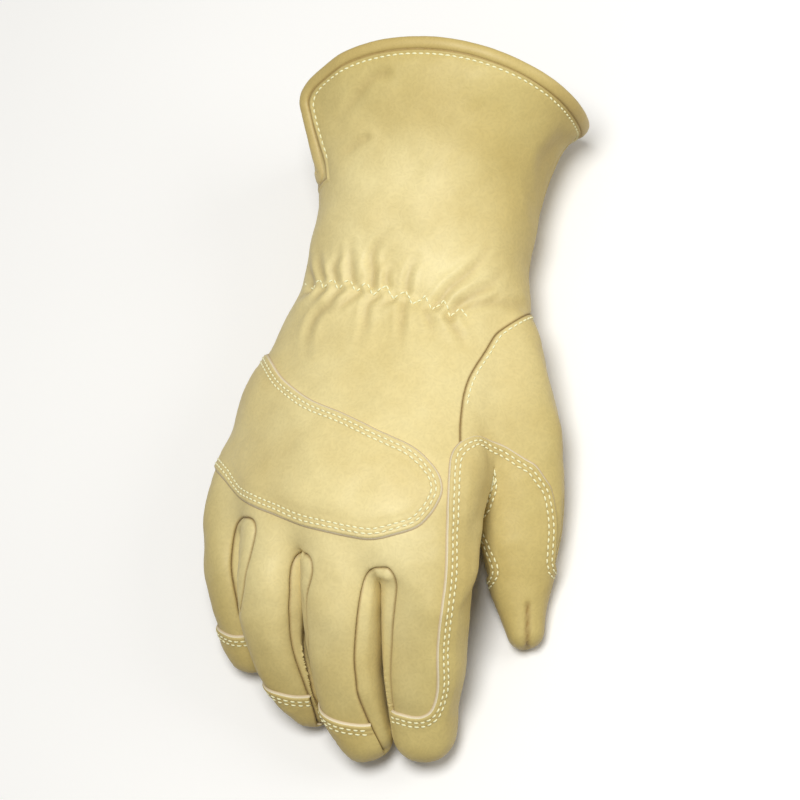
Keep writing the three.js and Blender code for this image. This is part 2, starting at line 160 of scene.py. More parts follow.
def standing(right, up, back, place):  # matrix of a camera or lamp at its place, looking away from back
    axes = np.eye(4)
    axes[:3] = np.stack([right, up, back, place], 1)
    return Matrix(axes.tolist())


def makeStudio():
    scene = bpy.context.scene
    bpy.ops.object.camera_add()
    camera = bpy.context.object
    camera.name = "camera"
    place = np.array(studio["target"]) + studio["distance"] * markDir
    camera.matrix_world = standing(studio["right"], studio["up"], markDir, place)
    camera.data.lens = studio["lens"]
    camera.data.sensor_width = 36
    camera.data.shift_x = studio["shiftX"]
    camera.data.clip_start, camera.data.clip_end = 0.05, 20
    scene.camera = camera
    scene.view_settings.view_transform = "Standard"
    world = bpy.data.worlds.new("studio")
    world.use_nodes = True
    ground = world.node_tree.nodes["Background"]
    ground.inputs["Color"].default_value = studio["worldColour"]
    ground.inputs["Strength"].default_value = studio["worldStrength"]
    scene.world = world
    for name, place, size, power, colour in studio["lights"]:
        bpy.ops.object.light_add(type="AREA", location=place)
        light = bpy.context.object
        light.name = name
        light.data.shape = "DISK"
        light.data.size = size
        light.data.energy = power
        light.data.color = colour
        aim = np.array(place) - studio["lightsAim"]
        aim = aim / np.linalg.norm(aim)
        side = np.cross((0, 1, 0), aim)
        side = side / np.linalg.norm(side)
        light.matrix_world = standing(side, np.cross(aim, side), aim, place)
    bpy.ops.mesh.primitive_plane_add(size=studio["floorSize"], location=(0, 0, studio["floorHeight"]))
    floor = bpy.context.object
    floor.name = "floor"
    finish, tree, shader = newFinish("pale_floor")
    path = tree.nodes.new("ShaderNodeLightPath")
    shade = tree.nodes.new("ShaderNodeMixRGB")
    shade.inputs[1].default_value = studio["floorColour"]
    shade.inputs[2].default_value = studio["floorBounce"]
    tree.links.new(path.outputs["Is Diffuse Ray"], shade.inputs[0])
    tree.links.new(shade.outputs[0], shader.inputs["Base Color"])
    shader.inputs["Roughness"].default_value = 0.8
    floor.data.materials.append(finish)
    floor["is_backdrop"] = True


deselectAll()
makeStudio()
print("camera, floor and lights made")

# the glove's form
hand = {
    # y, x, z, half width, half height, tilt, arch, slant
    "rows": [
        (150, 25, 42, 72, 45.5, 0, 0, 0), (130, 23.5, 39.5, 65, 42.5, 0, 0, 0),
        (116, 23.5, 37.5, 59.5, 40.5, 0, 0, 0), (105, 19.5, 35.5, 52, 38.5, 0, 0, 0),
        (94, 16.5, 33.5, 48, 36.5, 0, 0, 0), (82, 13.5, 32, 46, 35, 0, 0, 0),
        (68, 10.3, 30.5, 47, 33.5, 0, 0, 0), (53, 6.4, 28, 47.5, 30.5, 0, 0, 0),
        (43, 3.6, 27.5, 50, 29.5, 0, 0, 0), (26, -1.5, 28.5, 54, 28.5, 0.02, 0.0006, 0),
        (3, -10, 35, 57.5, 25.5, 0.05, 0.0018, -0.04), (-20, -14, 43, 57, 21.5, 0.1, 0.0032, -0.1),
        (-40, -18.5, 49, 56, 18, 0.126, 0.0043, -0.18), (-58, -20.5, 49, 54, 14.5, 0.126, 0.0043, -0.34),
        (-68.5, -20.5, 48, 48, 9, 0.126, 0.0043, -0.43),
    ],
    "power": 2.25,
    "sides": 96,
    "steps": 6,
}
fingers = {
    # x, y, z, width, depth for each row; roll leans the finger's back towards the thumb side
    "index": {"roll": -4, "tip": 11, "rows": [
        (29, -12, 40, 24, 22), (25, -36, 47, 30, 27), (17.5, -62, 45.5, 32, 28), (13.5, -84, 38, 30.5, 27),
        (9.8, -102, 29.5, 29, 25), (7, -118, 20.5, 25.5, 23), (5.3, -129.5, 13.5, 23.5, 20)]},
    "middle": {"roll": -6, "tip": 11, "rows": [
        (-4, -14, 42, 24, 22), (-9, -38, 51, 28, 27), (-16, -62, 50, 29, 27), (-19.5, -83, 43, 28.5, 26),
        (-22, -101, 33.5, 27.5, 24.5), (-22, -117, 22.5, 24.5, 22), (-19.5, -128, 14, 20.5, 19)]},
    "ring": {"roll": -20, "tip": 10, "rows": [
        (-34, -8, 36, 22, 20), (-42, -34, 45, 26, 25), (-46.5, -60, 44.5, 26.5, 25), (-50, -80, 38, 25.5, 24),
        (-50, -96, 28, 24, 22), (-46.5, -107, 18.5, 20.5, 19.5), (-42.5, -114, 11.5, 17, 17)]},
    "little": {"roll": -34, "tip": 9, "rows": [
        (-60, -4, 27, 18, 16), (-69, -30, 33, 21, 19), (-72, -56, 29.5, 22, 21), (-72, -73, 22.5, 21, 20),
        (-71, -84, 15, 19, 18), (-69.5, -90.5, 10.5, 16.5, 16)]},
    "thumb": {"roll": 14, "tip": 6, "rows": [
        (27, 44, 27, 30, 34), (40, 22, 26, 32, 36), (46, -2, 25, 34, 34), (47.5, -23, 22.5, 36, 32),
        (47, -43, 18.5, 34, 29), (44.5, -64, 12.5, 28.5, 25), (44.0, -80, 9.5, 18.5, 19), (44.8, -91, 7, 11.5, 14)]},
}
fingerForm = {"power": 2.6, "sides": 48, "steps": 5, "tipSteps": 8}
body = {
    "voxel": 1.3, "smoothRounds": 6,
    "web": ((41, -16, 38), (9, 14, 8)),  # middle and radii of the leather from the index finger to the thumb
    # the back is smoothed onto the fingers between these two y, each with the width over which that begins
    "tips": -92, "tipsFade": 26, "knuckles": 18, "knucklesFade": 40,
    "backShare": 0.6, "backRounds": 60, "allShare": 0.3, "allRounds": 3,
    # edge lengths of the finished sheet: at seams seen from above, at the other seams, elsewhere, beside the elastic
    "seamStep": 0.5, "hiddenSeamStep": 0.75, "plainStep": 1.4, "wristStep": 0.95, "nearSeam": 2.2, "nearWrist": 20,
    "sewnStep": 0.5, "sewnPlainStep": 1.3, "nearSewn": 6.5,
}


def smoothRows(rows, steps):  # Catmull-Rom curve through rows of numbers
    p = np.asarray(rows, float)
    p = np.vstack([2 * p[0] - p[1], p, 2 * p[-1] - p[-2]])
    t = np.linspace(0, 1, steps, endpoint=False)[:, None]
    parts = []
    for i in range(1, len(p) - 2):
        a, b, c, d = p[i - 1:i + 3]
        square, cube = 2 * a - 5 * b + 4 * c - d, 3 * b - a - 3 * c + d
        parts.append(0.5 * (2 * b + (c - a) * t + square * t ** 2 + cube * t ** 3))
    return np.vstack(parts + [p[-2:-1]])


def unit(vectors):
    return vectors / np.maximum(np.linalg.norm(vectors, axis=-1, keepdims=True), 1e-9)


def squircle(value, half, power):
    return np.sign(value) * half * np.abs(value) ** (2 / power)


def handRings():
    table = smoothRows(hand["rows"], hand["steps"])
    angle = np.linspace(0, 2 * math.pi, hand["sides"] + 1)
    rings = []
    for y, x, z, halfW, halfH, tilt, arch, slant in table:
        dx = squircle(np.cos(angle), halfW, hand["power"])
        dz = squircle(np.sin(angle), halfH, hand["power"])
        rings.append(np.stack([x + dx, y + slant * dx, z + dz + tilt * dx - arch * dx * dx], 1))
    return rings


def fingerFrames(finger):  # centre line of a finger with its side and back directions
    table = smoothRows(finger["rows"], fingerForm["steps"])
    centre = table[:, :3]
    along = unit(np.gradient(centre, axis=0))
    lean = math.radians(finger["roll"])
    side = unit(-np.cross(along, np.array([math.sin(lean), 0, math.cos(lean)])))
    back = unit(-np.cross(side, along))
    return {"centre": centre, "along": along, "side": side, "back": back,
            "width": table[:, 3], "depth": table[:, 4]}


def fingerRings(finger):
    f = fingerFrames(finger)
    angle = np.linspace(0, 2 * math.pi, fingerForm["sides"] + 1)
    across = squircle(np.cos(angle), 0.5, fingerForm["power"])
    up = squircle(np.sin(angle), 0.5, fingerForm["power"])
    rings = []
    for i in range(len(f["centre"])):
        rings.append(f["centre"][i] + np.outer(across * f["width"][i], f["side"][i])
                     + np.outer(up * f["depth"][i], f["back"][i]))
    for turn in np.linspace(0, math.pi / 2, fingerForm["tipSteps"] + 1)[1:]:
        scale = max(0.0, math.cos(turn)) ** 0.75
        centre = f["centre"][-1] + f["along"][-1] * math.sin(turn) * finger["tip"]
        rings.append(centre + scale * (rings[len(f["centre"]) - 1] - f["centre"][-1]))
    return rings


def rollSheet(name, rings):
    # a flat grid rolled into a tube, its seam merged and both ends drawn to a point
    first = np.repeat(rings[0].mean(0)[None], len(rings[0]), 0)
    last = np.repeat(rings[-1].mean(0)[None], len(rings[0]), 0)
    places = np.concatenate([[first], rings, [last]])
    rows, columns = places.shape[:2]
    deselectAll()
    bpy.ops.mesh.primitive_grid_add(x_subdivisions=columns - 1, y_subdivisions=rows - 1, size=0.1)
    tube = bpy.context.object
    tube.name = name
    tube.data.vertices.foreach_set("co", plainModel(places.reshape(-1, 3)).ravel())
    faceOutwards(tube, 0.00002)
    return tube


def makeForm():
    tubes = [rollSheet("hand_form", handRings())]
    tubes += [rollSheet(f"{name}_form", fingerRings(finger)) for name, finger in fingers.items()]
    place, radii = body["web"]
    bpy.ops.mesh.primitive_uv_sphere_add(segments=32, ring_count=16, radius=1)
    web = bpy.context.object
    web.data.vertices.foreach_set("co", plainModel(pointsOf(web.data) * radii + place).ravel())
    pick(*tubes, web)
    bpy.ops.object.join()
    form = bpy.context.object
    remesh = form.modifiers.new("remesh", "REMESH")
    remesh.mode = "VOXEL"
    remesh.voxel_size = body["voxel"] * 0.001
    smooth = form.modifiers.new("smooth", "SMOOTH")
    smooth.factor, smooth.iterations = 0.5, body["smoothRounds"]
    triangulate = form.modifiers.new("triangulate", "TRIANGULATE")
    for modifier in (remesh, smooth, triangulate):
        bpy.ops.object.modifier_apply(modifier=modifier.name)
    points = pointsOf(form.data)
    corners = np.zeros(len(form.data.polygons) * 3, np.int32)
    form.data.polygons.foreach_get("vertices", corners)
    bpy.data.objects.remove(form)
    return points * 1000 - pattern["shift"], corners.reshape(-1, 3)


# working with a triangle sheet as arrays
cutting = {
    "snap": 0.2,  # a point this near to a cut, as a share of its edge, moves onto it
    "tooLong": 1.35,  # an edge is halved past this many times the asked length
    "step": 0.4,  # how far a field is followed along the surface to find its rise
    "smallest": 400, "smallestSewn": 300,  # patches of fewer triangles join the panel around them
}


def edgesOf(tris):
    pairs = np.sort(np.concatenate([tris[:, [0, 1]], tris[:, [1, 2]], tris[:, [2, 0]]]), axis=1).astype(np.int64)
    size = int(tris.max()) + 1
    key, place = np.unique(pairs[:, 0] * size + pairs[:, 1], return_inverse=True)
    return np.stack([key // size, key % size], 1), place.reshape(3, -1).T


def normalsOf(points, tris):
    a, b, c = points[tris[:, 0]], points[tris[:, 1]], points[tris[:, 2]]
    face = np.cross(b - a, c - a)
    total = [sum(np.bincount(tris[:, k], face[:, i], len(points)) for k in range(3)) for i in range(3)]
    return unit(np.stack(total, 1))


def groupsOf(count, pairs):  # number of the lowest member of each connected group
    label = np.arange(count)
    while True:
        low = np.minimum(label[pairs[:, 0]], label[pairs[:, 1]])
        new = label.copy()
        np.minimum.at(new, label[pairs[:, 0]], low)
        np.minimum.at(new, label[pairs[:, 1]], low)
        while not np.array_equal(new, new[new]):
            new = new[new]
        if np.array_equal(new, label):
            return label
        label = new


def relax(points, tris, weight, rounds):  # moves points towards the middle of their neighbours
    edges, _ = edgesOf(tris)
    a, b = edges.T
    ends, starts = np.r_[a, b], np.r_[b, a]
    degree = np.maximum(np.bincount(ends, minlength=len(points)), 1)[:, None]
    for _ in range(rounds):
        total = np.stack([np.bincount(ends, points[starts, k], len(points)) for k in range(3)], 1)
        points = points + weight[:, None] * (total / degree - points)
    return points


def splitEdges(sheet, edges, sides, chosen, share):
    # puts a point on each chosen edge and divides the triangles beside it
    points, normals, tris = sheet
    number = np.full(len(edges), -1)
    number[chosen] = len(points) + np.arange(chosen.sum())
    a, b = edges[chosen].T
    t = share[chosen][:, None]
    points = np.vstack([points, points[a] * (1 - t) + points[b] * t])
    normals = np.vstack([normals, unit(normals[a] * (1 - t) + normals[b] * t)])
    mids = number[sides]
    count = (mids >= 0).sum(1)
    parts = [tris[count == 0]]
    for k in range(3):
        i, j = (k + 1) % 3, (k + 2) % 3
        rows = (count == 1) & (mids[:, k] >= 0)
        a, b, c, m = tris[rows, k], tris[rows, i], tris[rows, j], mids[rows, k]
        parts += [np.stack([a, m, c], 1), np.stack([m, b, c], 1)]
        rows = (count == 2) & (mids[:, k] < 0)
        a, b, c, p, q = tris[rows, k], tris[rows, i], tris[rows, j], mids[rows, i], mids[rows, j]
        near = np.linalg.norm(points[a] - points[p], axis=1) < np.linalg.norm(points[b] - points[q], axis=1)
        parts += [np.stack([c, q, p], 1),
                  np.stack([a, b, np.where(near, p, q)], 1),
                  np.stack([np.where(near, a, b), p, q], 1)]
    rows = count == 3
    a, b, c = tris[rows].T
    p, q, r = mids[rows].T
    parts += [np.stack(s, 1) for s in ((a, p, r), (p, b, q), (r, q, c), (p, q, r))]
    return points, normals, np.vstack(parts).astype(np.int64)


def refine(sheet, size, rounds):  # halves every edge longer than size(point, normal) asks
    for _ in range(rounds):
        points, normals, tris = sheet
        edges, sides = edgesOf(tris)
        a, b = edges.T
        length = np.linalg.norm(points[a] - points[b], axis=1)
        chosen = length > size((points[a] + points[b]) / 2, unit(normals[a] + normals[b])) * cutting["tooLong"]
        if not chosen.any():
            break
        sheet = splitEdges(sheet, edges, sides, chosen, np.full(len(edges), 0.5))
    return sheet


def cutAlong(sheet, field, level=0.0, where=None):
    # lays an edge line along field == level, moving points that lie close to it onto it
    points, normals, tris = sheet
    points = points.copy()
    value = field(points, normals) - level
    edges, _ = edgesOf(tris)
    a, b = edges.T
    allowed = np.ones(len(points), bool) if where is None else where(points, normals)
    live = (value[a] * value[b] < 0) & allowed[a] & allowed[b]
    share = np.where(live, value[a] / np.where(live, value[a] - value[b], 1), 0.5)
    snap = cutting["snap"]
    for first, second, rows in ((a, b, live & (share < snap)), (b, a, live & (share > 1 - snap))):
        part = np.where(share[rows] < 0.5, share[rows], 1 - share[rows])[:, None]
        points[first[rows]] += part * (points[second[rows]] - points[first[rows]])
        value[first[rows]] = 0
    edges, sides = edgesOf(tris)
    a, b = edges.T
    live = (value[a] * value[b] < 0) & allowed[a] & allowed[b]
    share = np.where(live, value[a] / np.where(live, value[a] - value[b], 1), 0.5)
    return splitEdges((points, normals, tris), edges, sides, live, share)


def part(sheet, keep):  # the chosen triangles alone, their points renumbered
    points, normals, tris = sheet
    used, place = np.unique(tris[keep], return_inverse=True)
    return points[used], normals[used], place.reshape(-1, 3)


def middles(sheet):
    return sheet[0][sheet[2]].mean(1), unit(sheet[1][sheet[2]].mean(1))


deselectAll()
formPoints, formTris = makeForm()
label = groupsOf(len(formPoints), edgesOf(formTris)[0])
largest = np.bincount(label).argmax()
keep = label[formTris[:, 0]] == largest
used, place = np.unique(formTris[keep], return_inverse=True)
formPoints, formTris = formPoints[used], place.reshape(-1, 3)
a, b, c = formPoints[formTris].transpose(1, 0, 2)
if (a * np.cross(b, c)).sum() < 0:
    formTris = formTris[:, ::-1]

# the leather runs smoothly from the back of the hand onto the fingers
normals = normalsOf(formPoints, formTris)
y, up = formPoints[:, 1], normals[:, 2]
band = np.clip((y - body["tips"]) / body["tipsFade"], 0, 1)
band = band * np.clip((body["knuckles"] - y) / body["knucklesFade"], 0, 1)
formPoints = relax(formPoints, formTris, body["backShare"] * band * np.clip(up * 1.6 - 0.2, 0, 1), body["backRounds"])
formPoints = relax(formPoints, formTris, np.full(len(formPoints), body["allShare"]), body["allRounds"])
formPoints[:, 2] = np.maximum(formPoints[:, 2], 0.05)
form = (formPoints, normalsOf(formPoints, formTris), formTris.astype(np.int64))
print("form made:", len(formPoints), "points", len(formTris), "triangles")

# rolled binding round the cuff's edge: its size, and how far in its stitch row lies
binding = {
    "width": 5.2, "thick": 3.8, "power": 2.3, "stations": 420, "around": 28, "rowAt": 7.2,
    "pathPoints": 1200, "pathRounds": 60, "smoothRounds": 10, "rippleShare": 0.12,
    "ripple": ((0.10, 24, 0.4), (0.06, 11, 1.9), (0.035, 5.5, 4.0)),  # height, wavelength, start of each wave
}

# where the pieces meet
seams = {
    "peakX": 9, "peakY": 136.0, "fallThumb": 0.0042, "fallLittle": 0.0045,  # the rim in plan
    "notchX": 4, "notchY": 96, "notchZ": 50, "notchRise": 1.6, "cornerRound": 6,
    "wingEdge": [(91, 52.0), (97, 52.9), (105, 54.7), (113, 56.8), (121, 59.4), (126, 61.4), (134, 65)],  # y, z
    "wristY": 46,
    "splitX": [-100, -60, -20, 13, 46, 110],
    "splitRows": [
        (175, 26, 26, 26, 24, 22, 20), (45, 20, 20, 20, 20, 20, 20), (-10, 23, 27, 35, 33, 21, 21),
        (-50, 24, 40, 50, 46, 16, 16), (-82, 12, 25, 41, 36, 10, 10), (-118, 8, 11, 20, 19, 7, 7),
        (-160, 6, 7, 9, 9, 7, 7)],
    "thumbLine": [
        (120, 60), (60, 51), (47, 44), (40, 41), (34, 38), (30, 35), (26, 29), (21, 22), (18, 16), (16, 8),
        (15, -5), (16, -24), (22, -46), (26, -60), (26, -140), (120, -140)],
    "thumbPalm": [(32, 40), (28, -10), (30, -60), (30, -140), (120, -140), (120, 40)],
    # the strip between two fingers: its outline as marked out from above, and where the web's hidden side begins
    "gaps": {
        "index_middle": {
            "fingers": ("middle", "index"), "top": -71, "up": (75, 75), "bulge": (1.5, 1.2),
            "outline": [
                (-26.4, -106.3), (-27.1, -99.8), (-27.6, -92.1), (-27.1, -83.5), (-26.5, -75.8), (-25.6, -68.1),
                (-24.3, -62.2), (-22.7, -58.0), (-20.3, -55.4), (-17.5, -55.0), (-14.6, -55.3), (-12.2, -58.1),
                (-11.1, -61.4), (-10.9, -64.8), (-11.4, -69.5), (-12.3, -76.1), (-13.2, -83.4), (-13.6, -90.8),
                (-13.5, -98.2), (-12.9, -107.7), (-12.5, -115.3), (-12.1, -122.8), (-11.7, -131.0),
                (-12.3, -140), (-16.5, -140), (-15.5, -135.7), (-17.6, -128.9), (-20.6, -121.9), (-23.3, -115.1)]},
        "middle_ring": {
            "fingers": ("ring", "middle"), "top": -63.5, "up": (75, 45), "bulge": (1.7, 0.8),
            "outline": [
                (-53.9, -74.0), (-54.4, -68.7), (-54.2, -62.9), (-54.0, -56.5), (-53.4, -51.3), (-52.2, -48.3),
                (-50.6, -46.7), (-49.0, -46.2), (-47.0, -46.8), (-45.5, -49.2), (-45.2, -53.4), (-46.3, -58.5),
                (-47.6, -63.9), (-48.2, -70.2), (-48.0, -76.9), (-47.7, -82.1), (-47.5, -90.0), (-46.9, -93.9),
                (-44.7, -106.9), (-40.8, -117.0), (-38.0, -127), (-42.0, -127), (-45.9, -111.0), (-48.6, -101.5),
                (-51.1, -92.1), (-52.9, -83.0)]},
        "ring_little": {
            "fingers": ("little", "ring"), "top": -44, "up": (75, 45), "bulge": (2.6, 0.7),
            "outline": [
                (-78.9, -58.8), (-79.7, -53.7), (-80.0, -49.0), (-79.6, -43.7), (-78.9, -37.9), (-77.7, -33.2),
                (-75.9, -30.7), (-73.6, -29.6), (-71.0, -30.1), (-69.4, -32.0), (-68.8, -34.9), (-69.4, -38.5),
                (-70.5, -42.5), (-71.8, -47.0), (-72.9, -51.4), (-73.8, -56.8), (-74.6, -62.1), (-75.4, -68.0),
                (-76.4, -71.5), (-77.6, -65.5)]},
    },
    "gapDown": 45, "gapDownSlope": (5, 20), "gapUnit": 0.22, "gapTopSlope": 1.5,  # degrees, and mm for each degree
    "gapSeen": (0.05, 0.3), "gapTopFade": (3, 2),  # where the outline takes over from the angles
    "indexClear": 0.8, "webY": -36,  # the thumb's panels keep this far from the index finger
    "wingSlope": 1.15, "palmSlope": 1.18,  # turn heights beside the notch into distances
}


def onPlane(points):
    return points[:, :2] - points[:, 2:3] * slope


def segmentDistance(q, line, closed=False):
    # distance of flat points to a line, with how far along it the nearest place is
    line = np.asarray(line, float)
    ends = np.roll(line, -1, 0) if closed else line[1:]
    starts = line if closed else line[:-1]
    best = np.full(len(q), 1e9)
    along = np.zeros(len(q))
    length = np.linalg.norm(ends - starts, axis=1)
    done = np.r_[0, np.cumsum(length)[:-1]]
    for a, b, size, before in zip(starts, ends, length, done):
        if size < 1e-9:
            continue
        t = np.clip(((q - a) @ (b - a)) / size ** 2, 0, 1)
        d = np.hypot(q[:, 0] - a[0] - t * (b[0] - a[0]), q[:, 1] - a[1] - t * (b[1] - a[1]))
        nearer = d < best
        best = np.where(nearer, d, best)
        along = np.where(nearer, before + t * size, along)
    return best, along


def insideOf(q, outline):
    outline = np.asarray(outline, float)
    odd = np.zeros(len(q), bool)
    for a, b in zip(outline, np.roll(outline, -1, 0)):
        if a[1] == b[1]:
            continue
        crosses = (a[1] > q[:, 1]) != (b[1] > q[:, 1])
        odd ^= crosses & (q[:, 0] < a[0] + (q[:, 1] - a[1]) * (b[0] - a[0]) / (b[1] - a[1]))
    return odd


def roundLine(line, closed, steps=4):
    line = np.asarray(line, float)
    if not closed:
        return smoothRows(line, steps)
    ring = np.vstack([line[-2:], line, line[:3]])
    return smoothRows(ring, steps)[2 * steps:-2 * steps - 1][:len(line) * steps]


def outlineField(line):
    smooth = roundLine(line, True)

    def field(points, normals):
        q = onPlane(points)
        distance, _ = segmentDistance(q, smooth, True)
        return np.where(insideOf(q, smooth), distance, -distance)
    return field


class FingerSpace:  # places of points beside a finger, measured from its centre line
    def __init__(self, finger):
        f = fingerFrames(finger)
        for name in ("centre", "along", "side", "back"):
            f[name] = np.vstack([f[name], f[name][-1:]])
        f["centre"][-1] = f["centre"][-2] + f["along"][-2] * finger["tip"]
        f["width"], f["depth"] = np.r_[f["width"], f["width"][-1] * 0.9], np.r_[f["depth"], f["depth"][-1] * 0.9]
        self.f = f

    def at(self, points):  # how far past the ends, sideways place, place towards the back, half width and depth
        f = self.f
        centre = f["centre"]
        best = np.full(len(points), 1e9)
        share = np.zeros(len(points))
        for i in range(len(centre) - 1):
            step = centre[i + 1] - centre[i]
            t = np.clip((points - centre[i]) @ step / (step @ step), 0, 1)
            d = np.linalg.norm(points - centre[i] - t[:, None] * step, axis=1)
            nearer = d < best
            best = np.where(nearer, d, best)
            share = np.where(nearer, i + t, share)
        i = np.minimum(share.astype(int), len(centre) - 2)
        t = (share - i)[:, None]

        def mix(name):
            values = f[name]
            if values.ndim == 1:
                values = values[:, None]
            return values[i] * (1 - t) + values[i + 1] * t
        offset = points - mix("centre")
        sideways = (offset * unit(mix("side"))).sum(1)
        upwards = (offset * unit(mix("back"))).sum(1)
        over = (offset * unit(mix("along"))).sum(1)
        over = np.where(share <= 0, -over, np.where(share >= len(centre) - 1, over, -1e3))
        return over, sideways, upwards, mix("width")[:, 0] / 2, mix("depth")[:, 0] / 2


spaces = {name: FingerSpace(finger) for name, finger in fingers.items()}


def beyondFinger(name, points):  # distance outside a finger's own surface
    over, s, u, halfW, halfH = spaces[name].at(points)
    power = fingerForm["power"]
    reach = (np.abs(s / halfW) ** power + np.abs(u / halfH) ** power) ** (1 / power)
    return np.maximum((reach - 1) * (halfW + halfH) / 2, over)


def softMin(a, b, width):
    h = np.clip(0.5 + 0.5 * (b - a) / width, 0, 1)
    return b * (1 - h) + a * h - width * h * (1 - h)


def rimField(points, normals=None):
    x, y, z = points.T
    fall = np.where(x > seams["peakX"], seams["fallThumb"], seams["fallLittle"])
    mouth = seams["peakY"] - fall * (x - seams["peakX"]) ** 2 - y
    edge = np.array(seams["wingEdge"], float).T
    wingSide = (z - np.interp(y, *edge)) * seams["wingSlope"]
    palmSide = (seams["notchZ"] - (y - seams["notchY"]) / seams["notchRise"] - z) / seams["palmSlope"]
    notch = np.maximum.reduce([wingSide, palmSide, seams["notchY"] - y])
    return np.where(x > seams["notchX"], mouth, softMin(mouth, notch, seams["cornerRound"]))


splitTable = np.array(seams["splitRows"], float)[::-1]


def splitField(points, normals=None):
    x, y, z = points.T
    rows = splitTable[:, 0]
    i = np.clip(np.searchsorted(rows, y) - 1, 0, len(rows) - 2)
    t = np.clip((y - rows[i]) / (rows[i + 1] - rows[i]), 0, 1)
    columns = np.array([np.interp(x, seams["splitX"], row[1:]) for row in splitTable])
    index = np.arange(len(x))
    return z - (columns[i, index] * (1 - t) + columns[i + 1, index] * t)


thumbOutline = outlineField(seams["thumbLine"])
thumbPalmOutline = outlineField(seams["thumbPalm"])


def thumbField(points, normals):
    besideIndex = np.maximum(beyondFinger("index", points) - seams["indexClear"], points[:, 1] - seams["webY"])
    return np.minimum(thumbOutline(points, normals), besideIndex)


def thumbPalmField(points, normals):
    return np.minimum(thumbPalmOutline(points, normals), beyondFinger("index", points) - seams["indexClear"])


def wristField(points, normals=None):
    return points[:, 1] - seams["wristY"]


def gapPlace(gap, points):
    # how far across the gap a point lies, and how far round each of its two fingers, in degrees
    x, y, z = points.T

    def middleLine(name):
        centre = spaces[name].f["centre"]
        order = np.argsort(centre[:, 1])
        return [np.interp(y, centre[order, 1], centre[order, k]) for k in (0, 2)]

    (ax, az), (bx, bz) = (middleLine(name) for name in gap["fingers"])
    length = np.hypot(bx - ax, bz - az)
    dx, dz = (bx - ax) / length, (bz - az) / length
    across = (x - ax) * dx + (z - az) * dz
    h = -(x - ax) * dz + (z - az) * dx
    turns = [np.degrees(np.arctan2(h, far)) for far in (across, length - across)]
    return smoothStep(across / length, 0.3, 0.7), turns


def gapField(gap):
    outline = outlineField(gap["outline"])

    def field(points, normals):
        # where the camera sees the leather the outline rules, and round the back the angle about each finger
        share, (turnLeft, turnRight) = gapPlace(gap, points)
        y = points[:, 1]
        slopeDown, before = seams["gapDownSlope"]
        down = np.minimum(seams["gapDown"], (gap["top"] - y) * slopeDown - before)
        fromTop = (gap["up"][0] - turnLeft) * (1 - share) + (gap["up"][1] - turnRight) * share
        fromFoot = (down + turnLeft) * (1 - share) + (down + turnRight) * share
        hidden = np.minimum(np.minimum(fromTop, fromFoot) * seams["gapUnit"], (gap["top"] - y) * seams["gapTopSlope"])
        under, over = seams["gapTopFade"]
        facing = np.maximum(smoothStep(normals @ markDir, *seams["gapSeen"]),
                            smoothStep(y, gap["top"] - under, gap["top"] + over))
        return hidden * (1 - facing) + outline(points, normals) * facing
    return field


gapFields = {name: gapField(gap) for name, gap in seams["gaps"].items()}


def towards(field, points, normals, level=0.0):
    # value of the field, its rise along the surface and the direction of that rise
    value = field(points, normals) - level
    helper = np.where(np.abs(normals[:, :1]) < 0.7, [[1.0, 0, 0]], [[0, 1.0, 0]])
    first = unit(np.cross(normals, helper))
    second = np.cross(normals, first)
    step = cutting["step"]
    riseA = (field(points + first * step, normals) - level - value) / step
    riseB = (field(points + second * step, normals) - level - value) / step
    return value, np.hypot(riseA, riseB), unit(first * riseA[:, None] + second * riseB[:, None])


def nearness(field, points, normals, level=0.0):
    # signed distance along the surface to the line field == level
    value, rise, _ = towards(field, points, normals, level)
    return value / np.maximum(rise, 0.35)


